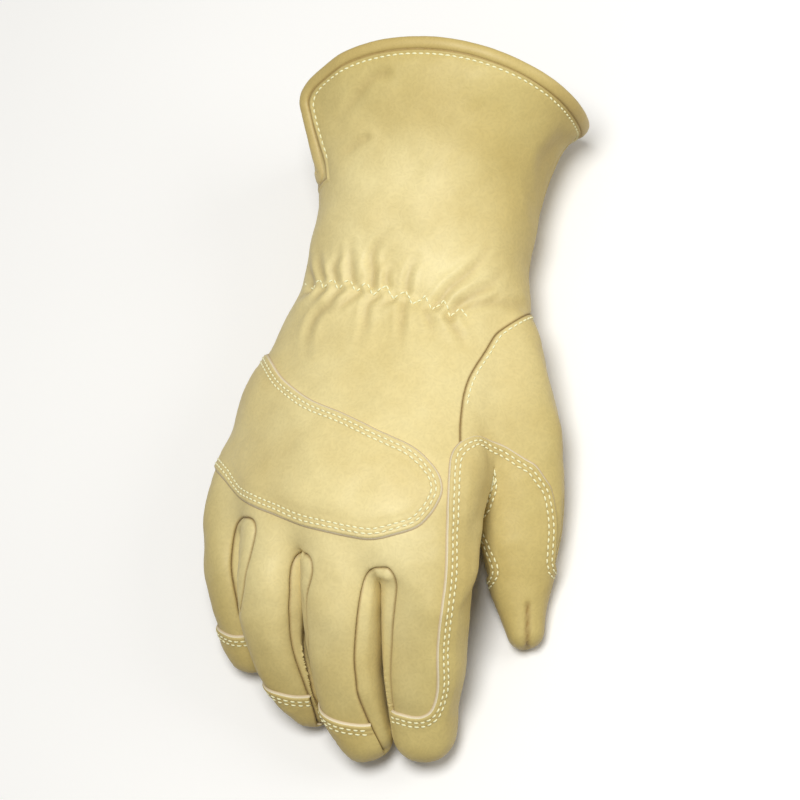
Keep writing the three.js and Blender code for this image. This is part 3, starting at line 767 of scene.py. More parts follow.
# relief of the leather: seams, gathers, folds and slow waves
relief = {
    "zigzag": [
        (-51.5, 67.8), (-47.6, 64.5), (-43.6, 67.9), (-41.9, 63.5), (-37.5, 67.0), (-35.3, 62.3), (-30.5, 65.9),
        (-28.3, 60.3), (-23.4, 63.8), (-21.0, 58.0), (-15.4, 61.7), (-12.5, 55.7), (-7.4, 58.8), (-4.5, 52.3),
        (1.3, 55.3), (3.6, 49.3), (9.2, 52.7), (11.4, 45.7), (15.9, 48.5), (18.4, 44.2)],
    # line, depth, width of each gather above and below the elastic
    "gathers": [
        ([(-48.1, 65.2), (-47.7, 69.0), (-48.7, 74.5), (-49.3, 78.4)], 0.8, 1.6),
        ([(-42.4, 68.6), (-42.8, 72.1), (-43.7, 76.1), (-44.2, 81.0)], 0.7, 1.6),
        ([(-36.3, 66.3), (-36.9, 71.2), (-35.0, 75.6), (-34.6, 79.3)], 0.8, 1.6),
        ([(-29.4, 65.0), (-29.5, 70.1), (-29.9, 76.1), (-29.9, 81.2)], 0.8, 1.7),
        ([(-21.4, 62.3), (-20.6, 67.7), (-21.5, 73.3), (-19.8, 78.1), (-14.7, 83.4)], 0.9, 1.8),
        ([(-14.7, 61.8), (-14.7, 65.7), (-12.6, 69.2)], 0.6, 1.6),
        ([(-6.8, 58.3), (-6.0, 63.3), (-4.3, 68.2), (-2.2, 71.3)], 0.7, 1.7),
        ([(4.8, 50.6), (8.1, 53.6), (11.0, 56.7), (16.0, 60.4), (21.9, 64.9), (27.0, 72.0)], 1.1, 2.1),
        ([(11.4, 45.7), (14.7, 50.0), (22.0, 53.4), (27.3, 55.9), (32.4, 60.5)], 1.1, 2.1),
        ([(16.8, 48.5), (24.7, 49.4), (33.2, 48.6), (40.5, 44.3)], 0.7, 2.2),
        ([(36.6, 48.4), (44.7, 46.3)], 0.5, 2.0),
        ([(-48.5, 63.9), (-52.7, 61.8), (-55.7, 58.2)], 0.7, 1.6),
        ([(-41.9, 62.8), (-44.0, 61.4), (-46.6, 58.3)], 0.7, 1.5),
        ([(-35.0, 61.9), (-36.9, 59.1), (-39.2, 55.5), (-43.9, 53.1), (-46.8, 48.4), (-48.5, 42.1), (-48.3, 36.1)],
         0.8, 1.9),
        ([(-26.9, 60.4), (-28.6, 58.4), (-33.2, 55.4), (-37.9, 52.4)], 0.7, 1.6),
        ([(-19.3, 56.9), (-22.7, 54.1), (-23.9, 49.3), (-24.3, 44.3), (-26.1, 38.1)], 0.7, 1.8),
        ([(-12.2, 55.2), (-16.0, 53.9), (-19.3, 51.7)], 0.6, 1.5),
        ([(-8.1, 53.4), (-8.5, 48.8), (-8.9, 42.5), (-8.9, 36.2)], 0.7, 1.8),
        ([(1.3, 48.9), (3.1, 43.7), (4.3, 38.5)], 0.6, 1.7),
        ([(11.0, 45.7), (12.2, 41.8), (15.0, 37.3), (17.5, 32.0)], 0.7, 1.8),
    ],
    # the same for the folds beside the cuff's corner and at its thumb side
    "folds": [
        ([(-15.6, 150.8), (-20.6, 150.3), (-24.0, 147.9), (-28.3, 143.6), (-32.1, 139.2), (-35.1, 134.4)], 0.9, 2.4),
        ([(-24.4, 125.2), (-28.3, 123.7), (-31.3, 121.7), (-35.2, 119.8)], 0.8, 1.9),
        ([(59.7, 116.4), (54.3, 111.5), (51.4, 105.4), (49.7, 97.6)], 1.0, 3.5),
    ],
    "seen": (0.05, 0.35),  # leather turned away from the marking direction has no gathers
    "tipSeam": [(42.8, -76.2), (42.9, -106)], "tipSeamDepth": 1.3, "tipSeamWidth": 0.8,
    "waves": [(46.0, 0.55, 5), (21.0, 0.25, 9), (9.0, 0.07, 14)],  # wavelength, height, count
    "valley": {  # section of a gather or fold: reach of its line, how it dies out, its ridges and the painted shade along its middle
        "reach": 12, "endShare": 0.25, "fadeLength": 0.55, "ridgeAt": 1.9, "ridgeWidth": 0.8, "darkWidth": 0.8,
        "dark": 0.45},
    "ridge": 0.55, "foldRidge": 0.3, "foldDark": 0.6,
    "floorFade": (0.3, 6), "rimFade": (4, 11),  # waves and gathers fade out at the floor and at the rim
    "band": {"depth": 1.1, "width": 3.4, "swell": 0.45, "swellAt": 8, "swellWidth": 4},  # drawn in by the elastic
    # depth and width of the grooves at the seams
    "grooves": {"side": (0.8, 1.5), "gap": (1.1, 2.0), "thumb": (0.55, 0.8), "rim": (0.3, 0.45)},
    "lap": 0.55,  # how far the thumb panel stands over the back at their seam
    "rimGroove": 5.4, "welt": (0.35, 6.3, 0.5), "rowDip": (0.25, 0.45),  # height, place, width beside the rolled edge
}


def slowWaves(points):
    chance = np.random.default_rng(11)
    total = np.zeros(len(points))
    for length, height, count in relief["waves"]:
        for _ in range(count):
            way = unit(chance.normal(size=3)) * 2 * math.pi / (length * chance.uniform(0.75, 1.35))
            total += height / math.sqrt(count) * np.sin(points @ way + chance.uniform(0, 6.28))
    return total


def grooveShape(distance, depth, width):
    t = np.clip(1 - np.abs(distance) / width, 0, 1)
    return -depth * (1 - np.sqrt(np.maximum(1 - t * t, 0)))


def lineValleys(q, lines, ridge):
    valley = relief["valley"]
    height, creaseShade = np.zeros(len(q)), np.zeros(len(q))
    for line, depth, width in lines:
        smooth = smoothRows(line, 4)
        low, high = smooth.min(0) - valley["reach"], smooth.max(0) + valley["reach"]
        near = ((q > low) & (q < high)).all(1)
        distance, along = segmentDistance(q[near], smooth)
        length = np.linalg.norm(np.diff(smooth, axis=0), axis=1).sum()
        fade = smoothStep(length - along, 0, length * valley["fadeLength"])
        fade = valley["endShare"] + (1 - valley["endShare"]) * fade
        r = distance / width
        ridges = ridge * np.exp(-((r - valley["ridgeAt"]) / valley["ridgeWidth"]) ** 2)
        height[near] += depth * fade * (-np.exp(-r ** 2) + ridges)
        # painted shade along the middle of each gather and fold
        dark = fade * np.exp(-(r / valley["darkWidth"]) ** 2) * min(1, depth) * valley["dark"]
        creaseShade[near] = np.maximum(creaseShade[near], dark)
    return height, creaseShade


def topFacing(normals):
    return smoothStep(normals @ markDir, *relief["seen"])


def wristRelief(points, normals):
    # the elastic draws the back of the wrist in, and the leather gathers above and below it, with painted shade along
    # the gathers and folds
    q = onPlane(points)
    facing = topFacing(normals)
    height, creaseShade = lineValleys(q, relief["gathers"], relief["ridge"])
    foldHeight, foldShade = lineValleys(q, relief["folds"], relief["foldRidge"])
    middleLine = (np.array(relief["zigzag"][:-1]) + np.array(relief["zigzag"][1:])) / 2
    distance, _ = segmentDistance(q, middleLine)
    band = relief["band"]
    drawn = -band["depth"] * np.exp(-(distance / band["width"]) ** 2)
    drawn = drawn + band["swell"] * np.exp(-((distance - band["swellAt"]) / band["swellWidth"]) ** 2)
    return facing * (height + drawn + foldHeight), facing * np.maximum(creaseShade, relief["foldDark"] * foldShade)


def seamRelief(points, normals):
    # how the base leather turns in at its seams, and the painted shade in its grooves
    above = splitField(points) > 0
    height, creaseShade = np.zeros(len(points)), np.zeros(len(points))

    def groove(distance, where, kind):
        nonlocal height, creaseShade
        depth, width = relief["grooves"][kind]
        height = np.minimum(height, np.where(where, grooveShape(distance, depth, width), 0))
        # painted shade along the middle of each groove
        creaseShade = np.maximum(creaseShade, np.where(where, np.exp(-(distance / 0.55) ** 2), 0))

    gapValue = np.maximum.reduce([field(points, normals) for field in gapFields.values()])
    outside = gapValue < 0.4
    groove(nearness(splitField, points, normals), outside, "side")
    bulge = np.zeros(len(points))
    for name, field in gapFields.items():
        distance = nearness(field, points, normals)
        groove(distance, np.abs(distance) < 3, "gap")
        share, _ = gapPlace(seams["gaps"][name], points)
        size = seams["gaps"][name]["bulge"]
        bulge = np.maximum(bulge, (size[0] * (1 - share) + size[1] * share) * smoothStep(distance, 0.2, 5))
    thumb = nearness(thumbField, points, normals)
    groove(thumb, above & outside & (np.abs(thumb) < 3), "thumb")
    lap = relief["lap"] * smoothStep(thumb, 0, 0.5) * (1 - smoothStep(thumb, 4, 16))
    lap = np.where(above & outside & (thumb > 0), lap, 0)
    groove(nearness(thumbPalmField, points, normals), ~above & outside & (points[:, 1] < 45), "side")
    groove(nearness(wristField, points, normals), ~above, "side")
    # beside the rolled edge: a groove, a welt and the dip of the stitch row
    rim = rimField(points)
    groove(rim - relief["rimGroove"], np.abs(rim - relief["rimGroove"]) < 1, "rim")
    weltHeight, weltAt, weltWidth = relief["welt"]
    dip, dipWidth = relief["rowDip"]
    welt = weltHeight * np.exp(-((rim - weltAt) / weltWidth) ** 2)
    welt = welt - dip * np.exp(-((rim - binding["rowAt"]) / dipWidth) ** 2)
    return height + lap + bulge + welt, creaseShade


def tipSeamRelief(points, normals):  # the seam down the middle of the thumb's end, with painted shade in its groove
    distance, along = segmentDistance(onPlane(points), relief["tipSeam"])
    deep = topFacing(normals) * smoothStep(along, -1, 1.5) * np.exp(-(distance / relief["tipSeamWidth"]) ** 2)
    return -relief["tipSeamDepth"] * deep, deep


def baseRelief(points, normals):
    wristHeight, wristShade = wristRelief(points, normals)
    seamHeight, seamShade = seamRelief(points, normals)
    flat = smoothStep(points[:, 2], *relief["floorFade"]) * smoothStep(rimField(points), *relief["rimFade"])
    return flat * (slowWaves(points) + wristHeight) + seamHeight, np.maximum(wristShade, seamShade)


# cut the form into the base panels
def seamSize(points, normals):
    q = onPlane(points)
    above = splitField(points) > 0
    near = np.abs(splitField(points))
    for field in gapFields.values():
        near = np.minimum(near, np.abs(field(points, normals)))
    near = np.minimum(near, np.where(above, np.abs(thumbField(points, normals)), 9))
    near = np.minimum(near, np.where(above, 9, np.abs(thumbPalmField(points, normals))))
    near = np.minimum(near, np.where(above, 9, np.abs(wristField(points))))
    near = np.minimum(near, np.abs(rimField(points) - 5.5))
    seamStep = np.where(topFacing(normals) > 0.3, body["seamStep"], body["hiddenSeamStep"])
    fine = np.where(near < body["nearSeam"], seamStep, body["plainStep"])
    wrist, _ = segmentDistance(q, relief["zigzag"])
    return np.where((wrist < body["nearWrist"]) & above, np.minimum(fine, body["wristStep"]), fine)


def cutPanels(form):
    sheet = refine(form, seamSize, 2)
    sheet = cutAlong(sheet, rimField, 2.5)
    centre, _ = middles(sheet)
    sheet = part(sheet, rimField(centre) > 2.5)
    sheet = cutAlong(sheet, splitField, 0, lambda p, n: np.maximum.reduce([f(p, n) for f in gapFields.values()]) < 1.5)
    for field in gapFields.values():
        sheet = cutAlong(sheet, field, 0)
    sheet = cutAlong(sheet, thumbField, 0, lambda p, n: splitField(p) > -0.7)
    sheet = cutAlong(sheet, thumbPalmField, 0, lambda p, n: (splitField(p) < 0.7) & (p[:, 1] < 47))
    sheet = cutAlong(sheet, wristField, 0, lambda p, n: splitField(p) < 0.7)
    centre, facing = middles(sheet)
    above = splitField(centre) > 0
    names = ["back_panel", "thumb_panel", "cuff_palm_panel", "palm_panel", "thumb_palm_panel"]
    names += [f"fourchette_{name}" for name in seams["gaps"]]
    label = np.where(thumbField(centre, facing) > 0, 1, 0)
    lower = np.where(wristField(centre) > 0, 2, np.where(thumbPalmField(centre, facing) > 0, 4, 3))
    label = np.where(above, label, lower)
    for i, field in enumerate(gapFields.values()):
        label = np.where(field(centre, facing) > 0, 5 + i, label)
    return sheet, tidyLabels(sheet, label, cutting["smallest"]), names


def tidyLabels(sheet, label, smallest):
    # a stray patch of a few triangles goes to the panel around it
    tris = sheet[2]
    edges, sides = edgesOf(tris)
    order = np.argsort(sides.ravel(), kind="stable")
    owner = np.repeat(np.arange(len(tris)), 3)[order]
    side = sides.ravel()[order]
    same = np.flatnonzero(side[1:] == side[:-1])
    pairs = np.stack([owner[same], owner[same + 1]], 1)
    for _ in range(4):
        joined = pairs[label[pairs[:, 0]] == label[pairs[:, 1]]]
        group = groupsOf(len(tris), joined)
        size = np.bincount(group, minlength=len(tris))[group]
        small = size < smallest
        if not small.any():
            break
        border = pairs[label[pairs[:, 0]] != label[pairs[:, 1]]]
        border = np.vstack([border, border[:, ::-1]])
        border = border[small[border[:, 0]] & (size[border[:, 1]] > size[border[:, 0]])]
        for root in np.unique(group[border[:, 0]]):
            votes = label[border[group[border[:, 0]] == root, 1]]
            label = np.where(group == root, np.bincount(votes).argmax(), label)
    return label


baseSheet, baseLabel, panelNames = cutPanels(form)
print("panels cut:", {n: int((baseLabel == i).sum()) for i, n in enumerate(panelNames)})


# materials
def newGroup(name, inputs, outputs):
    tree = bpy.data.node_groups.new(name, "ShaderNodeTree")
    for label, kind, value in inputs:
        socket = tree.interface.new_socket(label, in_out="INPUT", socket_type=kind)
        if value is not None:
            socket.default_value = value
    for label, kind in outputs:
        tree.interface.new_socket(label, in_out="OUTPUT", socket_type=kind)
    return tree, tree.nodes.new("NodeGroupInput"), tree.nodes.new("NodeGroupOutput")


def node(tree, kind, settings=None, **links):
    # adds a node, sets its options and plugs in sockets or plain values by name
    made = tree.nodes.new(kind)
    for key, value in (settings or {}).items():
        setattr(made, key, value)
    for key, value in links.items():
        numbered = key[0] == "i" and key[1:].isdigit()
        socket = made.inputs[int(key[1:]) if numbered else key.replace("_", " ")]
        if isinstance(value, bpy.types.NodeSocket):
            tree.links.new(value, socket)
        else:
            socket.default_value = value
    return made


def mixed(tree, share, first, second, kind="MIX"):
    return node(tree, "ShaderNodeMixRGB", {"blend_type": kind}, Fac=share, Color1=first, Color2=second).outputs[0]


def faded(tree, value, low, high):  # 0 below low and 1 above high, with a soft passage
    return node(tree, "ShaderNodeMapRange", {"interpolation_type": "SMOOTHSTEP"}, Value=value,
                From_Min=low, From_Max=high).outputs[0]


def makeGrainGroup():
    tree, start, end = newGroup(
        "leather_grain",
        [("Scale", "NodeSocketFloat", 900.0), ("Depth", "NodeSocketFloat", 0.35)],
        [("Height", "NodeSocketFloat"), ("Blotch", "NodeSocketFloat"), ("Pore", "NodeSocketFloat"),
         ("PaintedShade", "NodeSocketFloat")])
    place = node(tree, "ShaderNodeTexCoord").outputs["Object"]
    warp = node(tree, "ShaderNodeTexNoise", Vector=place, Scale=160.0, Detail=2.0)
    shifted = mixed(tree, 0.004, place, warp.outputs["Color"], "LINEAR_LIGHT")
    cells = node(tree, "ShaderNodeTexVoronoi", {"feature": "SMOOTH_F1"}, Vector=shifted)
    tree.links.new(start.outputs["Scale"], cells.inputs["Scale"])
    fine = node(tree, "ShaderNodeTexNoise", Vector=place, Scale=2600.0, Detail=3.0, Roughness=0.6)
    total = node(tree, "ShaderNodeMath", {"operation": "MULTIPLY_ADD"}, i0=fine.outputs["Fac"], i1=0.35)
    tree.links.new(cells.outputs["Distance"], total.inputs[2])
    height = node(tree, "ShaderNodeMath", {"operation": "MULTIPLY"}, i0=total.outputs[0])
    tree.links.new(start.outputs["Depth"], height.inputs[1])
    large = node(tree, "ShaderNodeTexNoise", Vector=place, Scale=26.0, Detail=4.0, Roughness=0.55)
    blotch = node(tree, "ShaderNodeMapRange", Value=large.outputs["Fac"], From_Min=0.32, From_Max=0.68)
    # painted shade: the leather's colour is multiplied darker and yellower towards the tips, the thumb side and the
    # cuff's rim, where the light falls off
    wide = node(tree, "ShaderNodeVectorMath", {"operation": "MULTIPLY_ADD"}, i0=place,
                i1=(1.45, 1.0, 0.0), i2=(0.012, 0.0, 0.0))
    away = node(tree, "ShaderNodeVectorMath", {"operation": "LENGTH"}, i0=wide.outputs[0])
    # the painted shade grows with distance from the middle of the hand, and towards the thumb side
    rim = faded(tree, away.outputs["Value"], 0.072, 0.138)
    across = node(tree, "ShaderNodeVectorMath", {"operation": "DOT_PRODUCT"}, i0=place, i1=(1.0, -0.5, 0.0))
    side = faded(tree, across.outputs["Value"], 0.035, 0.078)
    paintedShadeMask = node(tree, "ShaderNodeMath", {"operation": "MAXIMUM"}, i0=rim, i1=side)
    tree.links.new(paintedShadeMask.outputs[0], end.inputs["PaintedShade"])
    tree.links.new(height.outputs[0], end.inputs["Height"])
    tree.links.new(blotch.outputs[0], end.inputs["Blotch"])
    tree.links.new(cells.outputs["Distance"], end.inputs["Pore"])
    return tree


paintedShadeTint = (0.78, 0.74, 0.58, 1)  # painted shade: multiplies the leather's colour towards the tips, the thumb side and the rim
# each look: light and dark tones of the leather, and a deep brown that is painted shade in seams, gathers and stitch
# rows
leatherLooks = {
    "grain_leather": {
        "light": (0.80, 0.69, 0.355, 1), "dark": (0.71, 0.585, 0.265, 1), "creaseShade": (0.30, 0.185, 0.06, 1),
        "scale": 820.0, "depth": 0.30, "roughness": 0.52},
    "patch_leather": {
        "light": (0.79, 0.675, 0.335, 1), "dark": (0.695, 0.565, 0.25, 1), "creaseShade": (0.29, 0.175, 0.055, 1),
        "scale": 860.0, "depth": 0.30, "roughness": 0.50},
    "binding_leather": {
        "light": (0.78, 0.65, 0.32, 1), "dark": (0.68, 0.535, 0.235, 1), "creaseShade": (0.28, 0.165, 0.05, 1),
        "scale": 1100.0, "depth": 0.22, "roughness": 0.46},
}


def makeLeather(name, look, grain):
    finish, tree, shader = newFinish(name)
    grainNode = tree.nodes.new("ShaderNodeGroup")
    grainNode.node_tree = grain
    grainNode.inputs["Scale"].default_value = look["scale"]
    grainNode.inputs["Depth"].default_value = look["depth"]
    tone = mixed(tree, grainNode.outputs["Blotch"], look["dark"], look["light"])
    # painted shade: the leather is darkened towards the tips, the thumb side and the rim
    tone = mixed(tree, grainNode.outputs["PaintedShade"], tone, paintedShadeTint, "MULTIPLY")
    # painted shade: the leather is darkened towards a deep brown in seams, gathers, folds and stitch rows
    paintedShading = node(tree, "ShaderNodeAttribute", {"attribute_name": "creaseShade"})
    deep = node(tree, "ShaderNodeMath", {"operation": "MULTIPLY"}, i0=paintedShading.outputs["Fac"], i1=0.75)
    coloured = mixed(tree, deep.outputs[0], tone, look["creaseShade"])
    pore = node(tree, "ShaderNodeMapRange", Value=grainNode.outputs["Pore"],
                From_Min=0.0, From_Max=0.7, To_Min=0.93, To_Max=1.04)
    shade = mixed(tree, 1.0, coloured, pore.outputs[0], "MULTIPLY")
    tree.links.new(shade, shader.inputs["Base Color"])
    rough = node(tree, "ShaderNodeMapRange", Value=grainNode.outputs["Blotch"],
                 To_Min=look["roughness"] + 0.06, To_Max=look["roughness"] - 0.04)
    tree.links.new(rough.outputs[0], shader.inputs["Roughness"])
    bump = node(tree, "ShaderNodeBump", Height=grainNode.outputs["Height"], Strength=0.35, Distance=0.00035)
    tree.links.new(bump.outputs[0], shader.inputs["Normal"])
    shader.inputs["Specular IOR Level"].default_value = 0.35
    shader.inputs["Sheen Weight"].default_value = 0.08
    return finish


def makePlain(name, colour, second, scale, roughness, bumpDistance, paintedShading=None):
    finish, tree, shader = newFinish(name)
    place = node(tree, "ShaderNodeTexCoord").outputs["Object"]
    noise = node(tree, "ShaderNodeTexNoise", Vector=place, Scale=scale, Detail=4.0, Roughness=0.65)
    tone = mixed(tree, noise.outputs["Fac"], colour, second)
    if paintedShading:
        # painted shade: the colour is darkened where the shade value is high
        shadeAttribute = node(tree, "ShaderNodeAttribute", {"attribute_name": "creaseShade"})
        tone = mixed(tree, shadeAttribute.outputs["Fac"], tone, paintedShading)
    tree.links.new(tone, shader.inputs["Base Color"])
    shader.inputs["Roughness"].default_value = roughness
    shader.inputs["Specular IOR Level"].default_value = 0.25
    bump = node(tree, "ShaderNodeBump", Height=noise.outputs["Fac"], Strength=0.5, Distance=bumpDistance)
    tree.links.new(bump.outputs[0], shader.inputs["Normal"])
    return finish


grainGroup = makeGrainGroup()
leathers = {name: makeLeather(name, look, grainGroup) for name, look in leatherLooks.items()}
# the raw edge is drawn brown towards its foot: partly the edge's own fuzz, partly painted shadow under it
rawEdge = makePlain("raw_edge", (0.74, 0.66, 0.47, 1), (0.93, 0.89, 0.72, 1), 1500.0, 0.85, 0.0003,
                    (0.60, 0.45, 0.25, 1))
lining = makePlain("inner_lining", (0.36, 0.30, 0.20, 1), (0.52, 0.45, 0.32, 1), 900.0, 0.95, 0.0005)
thread = makePlain("thread", (0.96, 0.94, 0.66, 1), (0.86, 0.84, 0.52, 1), 2400.0, 0.55, 0.0002)
print("materials made")


# solid pieces from sheets
def addPiece(name, points, faces, finishes, replaced=None):
    mesh = bpy.data.meshes.new(name)
    mesh.from_pydata(toModel(points).tolist(), [], faces)
    for finish in finishes:
        mesh.materials.append(finish)
    mesh.update()
    piece = bpy.data.objects.new(name, mesh)
    bpy.context.scene.collection.objects.link(piece)
    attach(piece, "root")
    if replaced:
        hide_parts(replaced)
    return piece


def setPaintedShade(mesh, values):  # painted shade: how dark each point is drawn
    mesh.attributes.new("creaseShade", "FLOAT", "POINT").data.foreach_set("value", values.astype(np.float32))
    mesh.update()


def makePiece(name, outer, inner, tris, creaseShade, finishes, replaced, innerEdgeShade=0.0):
    # a sheet with its inner face and a rim along its open edges
    count = len(outer)
    edges, sides = edgesOf(tris)
    used = np.bincount(sides.ravel(), minlength=len(edges))
    first = np.stack([tris[:, [0, 1]], tris[:, [1, 2]], tris[:, [2, 0]]], 1)
    rim = first[used[sides] == 1]
    faces = [tuple(t) for t in tris.tolist()]
    faces += [(c + count, b + count, a + count) for a, b, c in tris.tolist()]
    faces += [(b, a, a + count, b + count) for a, b in rim.tolist()]
    piece = addPiece(name, np.vstack([outer, inner]), faces, finishes, replaced)
    kinds = np.r_[np.zeros(len(tris)), np.ones(len(tris)), np.full(len(rim), 2)].astype(np.int32)
    piece.data.polygons.foreach_set("material_index", kinds)
    # the inner face's value gives painted shadow at the foot of the raw edge
    setPaintedShade(piece.data, np.r_[creaseShade, np.full(count, innerEdgeShade)])
    pick(piece)
    bpy.ops.object.shade_smooth_by_angle(angle=math.radians(50))


def onFloor(points, height=0.0):
    points = points.copy()
    points[:, 2] = np.maximum(points[:, 2], height)
    return points


height, creaseShade = baseRelief(baseSheet[0], baseSheet[1])
baseOuter = onFloor(baseSheet[0] + baseSheet[1] * height[:, None])
baseInner = baseSheet[0] - baseSheet[1] * (pattern["wall"] - np.minimum(0, height) * 0.3)[:, None]
for i, name in enumerate(panelNames):
    used, place = np.unique(baseSheet[2][baseLabel == i], return_inverse=True)
    inner = onFloor(baseInner[used], pattern["floorGap"])
    makePiece(f"{name}_leather", baseOuter[used], inner, place.reshape(-1, 3), creaseShade[used],
              [leathers["grain_leather"], lining, leathers["grain_leather"]], name)
print("base panels made")

# pieces sewn on top
overlays = {
    "thickness": 1.15, "lift": 0.15, "slant": 0.85,
    "rows": (1.7, 3.5), "rowDip": 0.2, "rowWidth": 0.5,  # the two rows of stitches, from the edge inwards
    "overSide": 0.5, "overSideSlope": 1.2,  # the strap ends at the side seam
    "slitReach": 4, "slitSlope": 2.5, "pastMiddle": 0.5, "fromStrip": 0.1,  # how far a piece reaches between fingers
    "levels": (0.0, 0.35, 0.9), "margin": 4, "facingUp": 0.4,  # how it is cut from the form
    "edgeHeight": 0.62, "edgeRound": 0.7, "crown": 0.3, "crownFrom": (4.8, 8),
    "strap": [
        (-120, 62), (-74, 47), (-66, 38), (-60, 28), (-53, 21), (-45, 15), (-33, 9), (-21, 2), (-12, -3),
        (-4, -8), (2, -14), (6, -20), (7, -26), (5, -31), (2, -35), (-3, -39), (-12, -41), (-21, -42),
        (-30, -40), (-40, -37), (-49, -34), (-60, -29), (-69, -25), (-77, -20), (-85, -11), (-96, -2), (-120, 8)],
    "saddle": [
        (-14, -116), (-11, -116), (-5, -118), (0, -118), (4, -115), (6, -107), (6, -92), (7, -76), (9, -61),
        (10, -38), (10, -33), (11, -17), (12, -12), (14, -9), (17, -7), (22, -6), (28, -9), (34, -12), (42, -18),
        (46, -21), (50, -27), (52.5, -31), (54, -38), (54.5, -46), (53.5, -58), (53.5, -62), (56, -66), (70, -73),
        (70, -140), (-14, -140)],
    "slit": [
        (25, -24.5), (26.5, -26.5), (25.5, -34), (23.3, -39.7), (23.3, -44), (26, -53), (28.7, -61), (28.2, -64.5),
        (26, -67), (20, -69), (10, -72), (16, -52), (20, -40), (23, -29)],
    "caps": {  # a place on each cap's edge and the direction towards the tip
        "middle": ((-24.3, -127.3, 27.7), (-0.311, -0.596, -0.741)),
        "ring": ((-47.3, -114.7, 24.2), (-0.257, -0.629, -0.733)),
        "little": ((-73.2, -88.6, 23.1), (-0.124, -0.742, -0.659))},
    "boxes": {  # the part of the form that each piece is cut from
        "strap": ((-90, -70, 10), (30, 60, 90)), "saddle": ((-12, -145, -5), (80, 20, 75)),
        "middle": ((-45, -145, -5), (0, -100, 45)), "ring": ((-70, -130, -5), (-25, -85, 45)),
        "little": ((-90, -105, -5), (-50, -65, 40))},
}
strapOutline, saddleOutline, slitOutline = (outlineField(overlays[k]) for k in ("strap", "saddle", "slit"))


def strapField(points, normals):
    side = (splitField(points) - overlays["overSide"]) * overlays["overSideSlope"]
    return np.minimum(strapOutline(points, normals), side)


def saddleRows(points, normals):
    reach = (beyondFinger("index", points) - overlays["slitReach"]) * overlays["slitSlope"]
    return np.minimum(saddleOutline(points, normals), -np.minimum(slitOutline(points, normals), reach))


def saddleField(points, normals):
    away = beyondFinger("middle", points) - beyondFinger("index", points) + overlays["pastMiddle"]
    strip = -gapFields["index_middle"](points, normals) - overlays["fromStrip"]
    return np.minimum.reduce([saddleRows(points, normals), away, strip])


def capPlane(name):
    place, way = overlays["caps"][name]
    return lambda points, normals=None: (points - place) @ unit(np.array(way))


def capField(name):
    plane = capPlane(name)
    others = [n for n in ("index", "middle", "ring", "little") if n != name]
    beside = [f for key, f in gapFields.items() if name in seams["gaps"][key]["fingers"]]

    def field(points, normals):
        away = np.minimum.reduce([beyondFinger(n, points) for n in others]) - beyondFinger(name, points)
        strips = [-f(points, normals) - overlays["fromStrip"] for f in beside]
        return np.minimum.reduce([plane(points), away + overlays["pastMiddle"]] + strips)
    return field


def makeOverlay(name, field, rowField, box):
    low, high = np.array(box, float)
    centre, _ = middles(form)
    sheet = part(form, ((centre > low) & (centre < high)).all(1))
    sheet = part(sheet, field(*middles(sheet)) > -overlays["margin"])
    steps = body["sewnStep"], body["sewnPlainStep"]
    sheet = refine(sheet, lambda p, n: np.where(field(p, n) < body["nearSewn"], *steps), 2)
    for level in overlays["levels"]:
        sheet = cutAlong(sheet, field, level)
    centre, facing = middles(sheet)
    label = tidyLabels(sheet, (field(centre, facing) > 0).astype(int), cutting["smallestSewn"])
    sheet = part(sheet, label == 1)
    points, normals, tris = sheet
    # keep the one body that shows from above
    bodies = groupsOf(len(points), edgesOf(tris)[0])
    seen = np.bincount(bodies, weights=normals @ markDir > overlays["facingUp"])
    sheet = part(sheet, bodies[tris[:, 0]] == seen.argmax())
    points, normals, tris = sheet
    s = nearness(field, points, normals)
    edges, sides = edgesOf(tris)
    onEdge = np.zeros(len(points), bool)
    onEdge[edges[np.bincount(sides.ravel(), minlength=len(edges)) == 1].ravel()] = True
    s = np.where(onEdge, 0, np.clip(s, 0, 12))
    rounding = np.sqrt(np.maximum(1 - (1 - np.clip(s / overlays["edgeRound"], 0, 1)) ** 2, 0))
    top = overlays["lift"] + overlays["thickness"] * (overlays["edgeHeight"] + (1 - overlays["edgeHeight"]) * rounding)
    rowS = nearness(rowField, points, normals)
    dips = sum(np.exp(-((rowS - row) / overlays["rowWidth"]) ** 2) for row in overlays["rows"])
    top += -overlays["rowDip"] * dips + overlays["crown"] * smoothStep(s, *overlays["crownFrom"])
    tipHeight, tipShade = tipSeamRelief(points, normals) if name == "thumb_saddle" else (0, 0)
    waves = slowWaves(points) * smoothStep(points[:, 2], *relief["floorFade"]) + tipHeight
    outer = onFloor(points + normals * (waves + top)[:, None])
    inner = points + normals * (waves + overlays["lift"] - 0.1)[:, None]
    _, _, rise = towards(field, points, normals)
    inner = onFloor(inner - rise * (overlays["slant"] * onEdge * (rowS < 0.4))[:, None], pattern["floorGap"])
    # painted shade in the stitch rows and the thumb's tip seam
    creaseShade = np.clip(0.5 * dips ** 2 + tipShade, 0, 1)
    makePiece(f"{name}_leather", outer, inner, tris, creaseShade,
              [leathers["patch_leather"], lining, rawEdge], name, 1.0)
    return {"outer": outer, "normals": normalsOf(outer, tris), "tris": tris, "s": rowS, "edge": s}


boxes = overlays["boxes"]
made = {
    "strap": makeOverlay("knuckle_strap", strapField, strapOutline, boxes["strap"]),
    "saddle": makeOverlay("thumb_saddle", saddleField, saddleRows, boxes["saddle"]),
}
for name in overlays["caps"]:
    made[name] = makeOverlay(f"fingertip_cap_{name}", capField(name), capPlane(name), boxes[name])
print("sewn-on pieces made:", {k: len(v["tris"]) for k, v in made.items()})


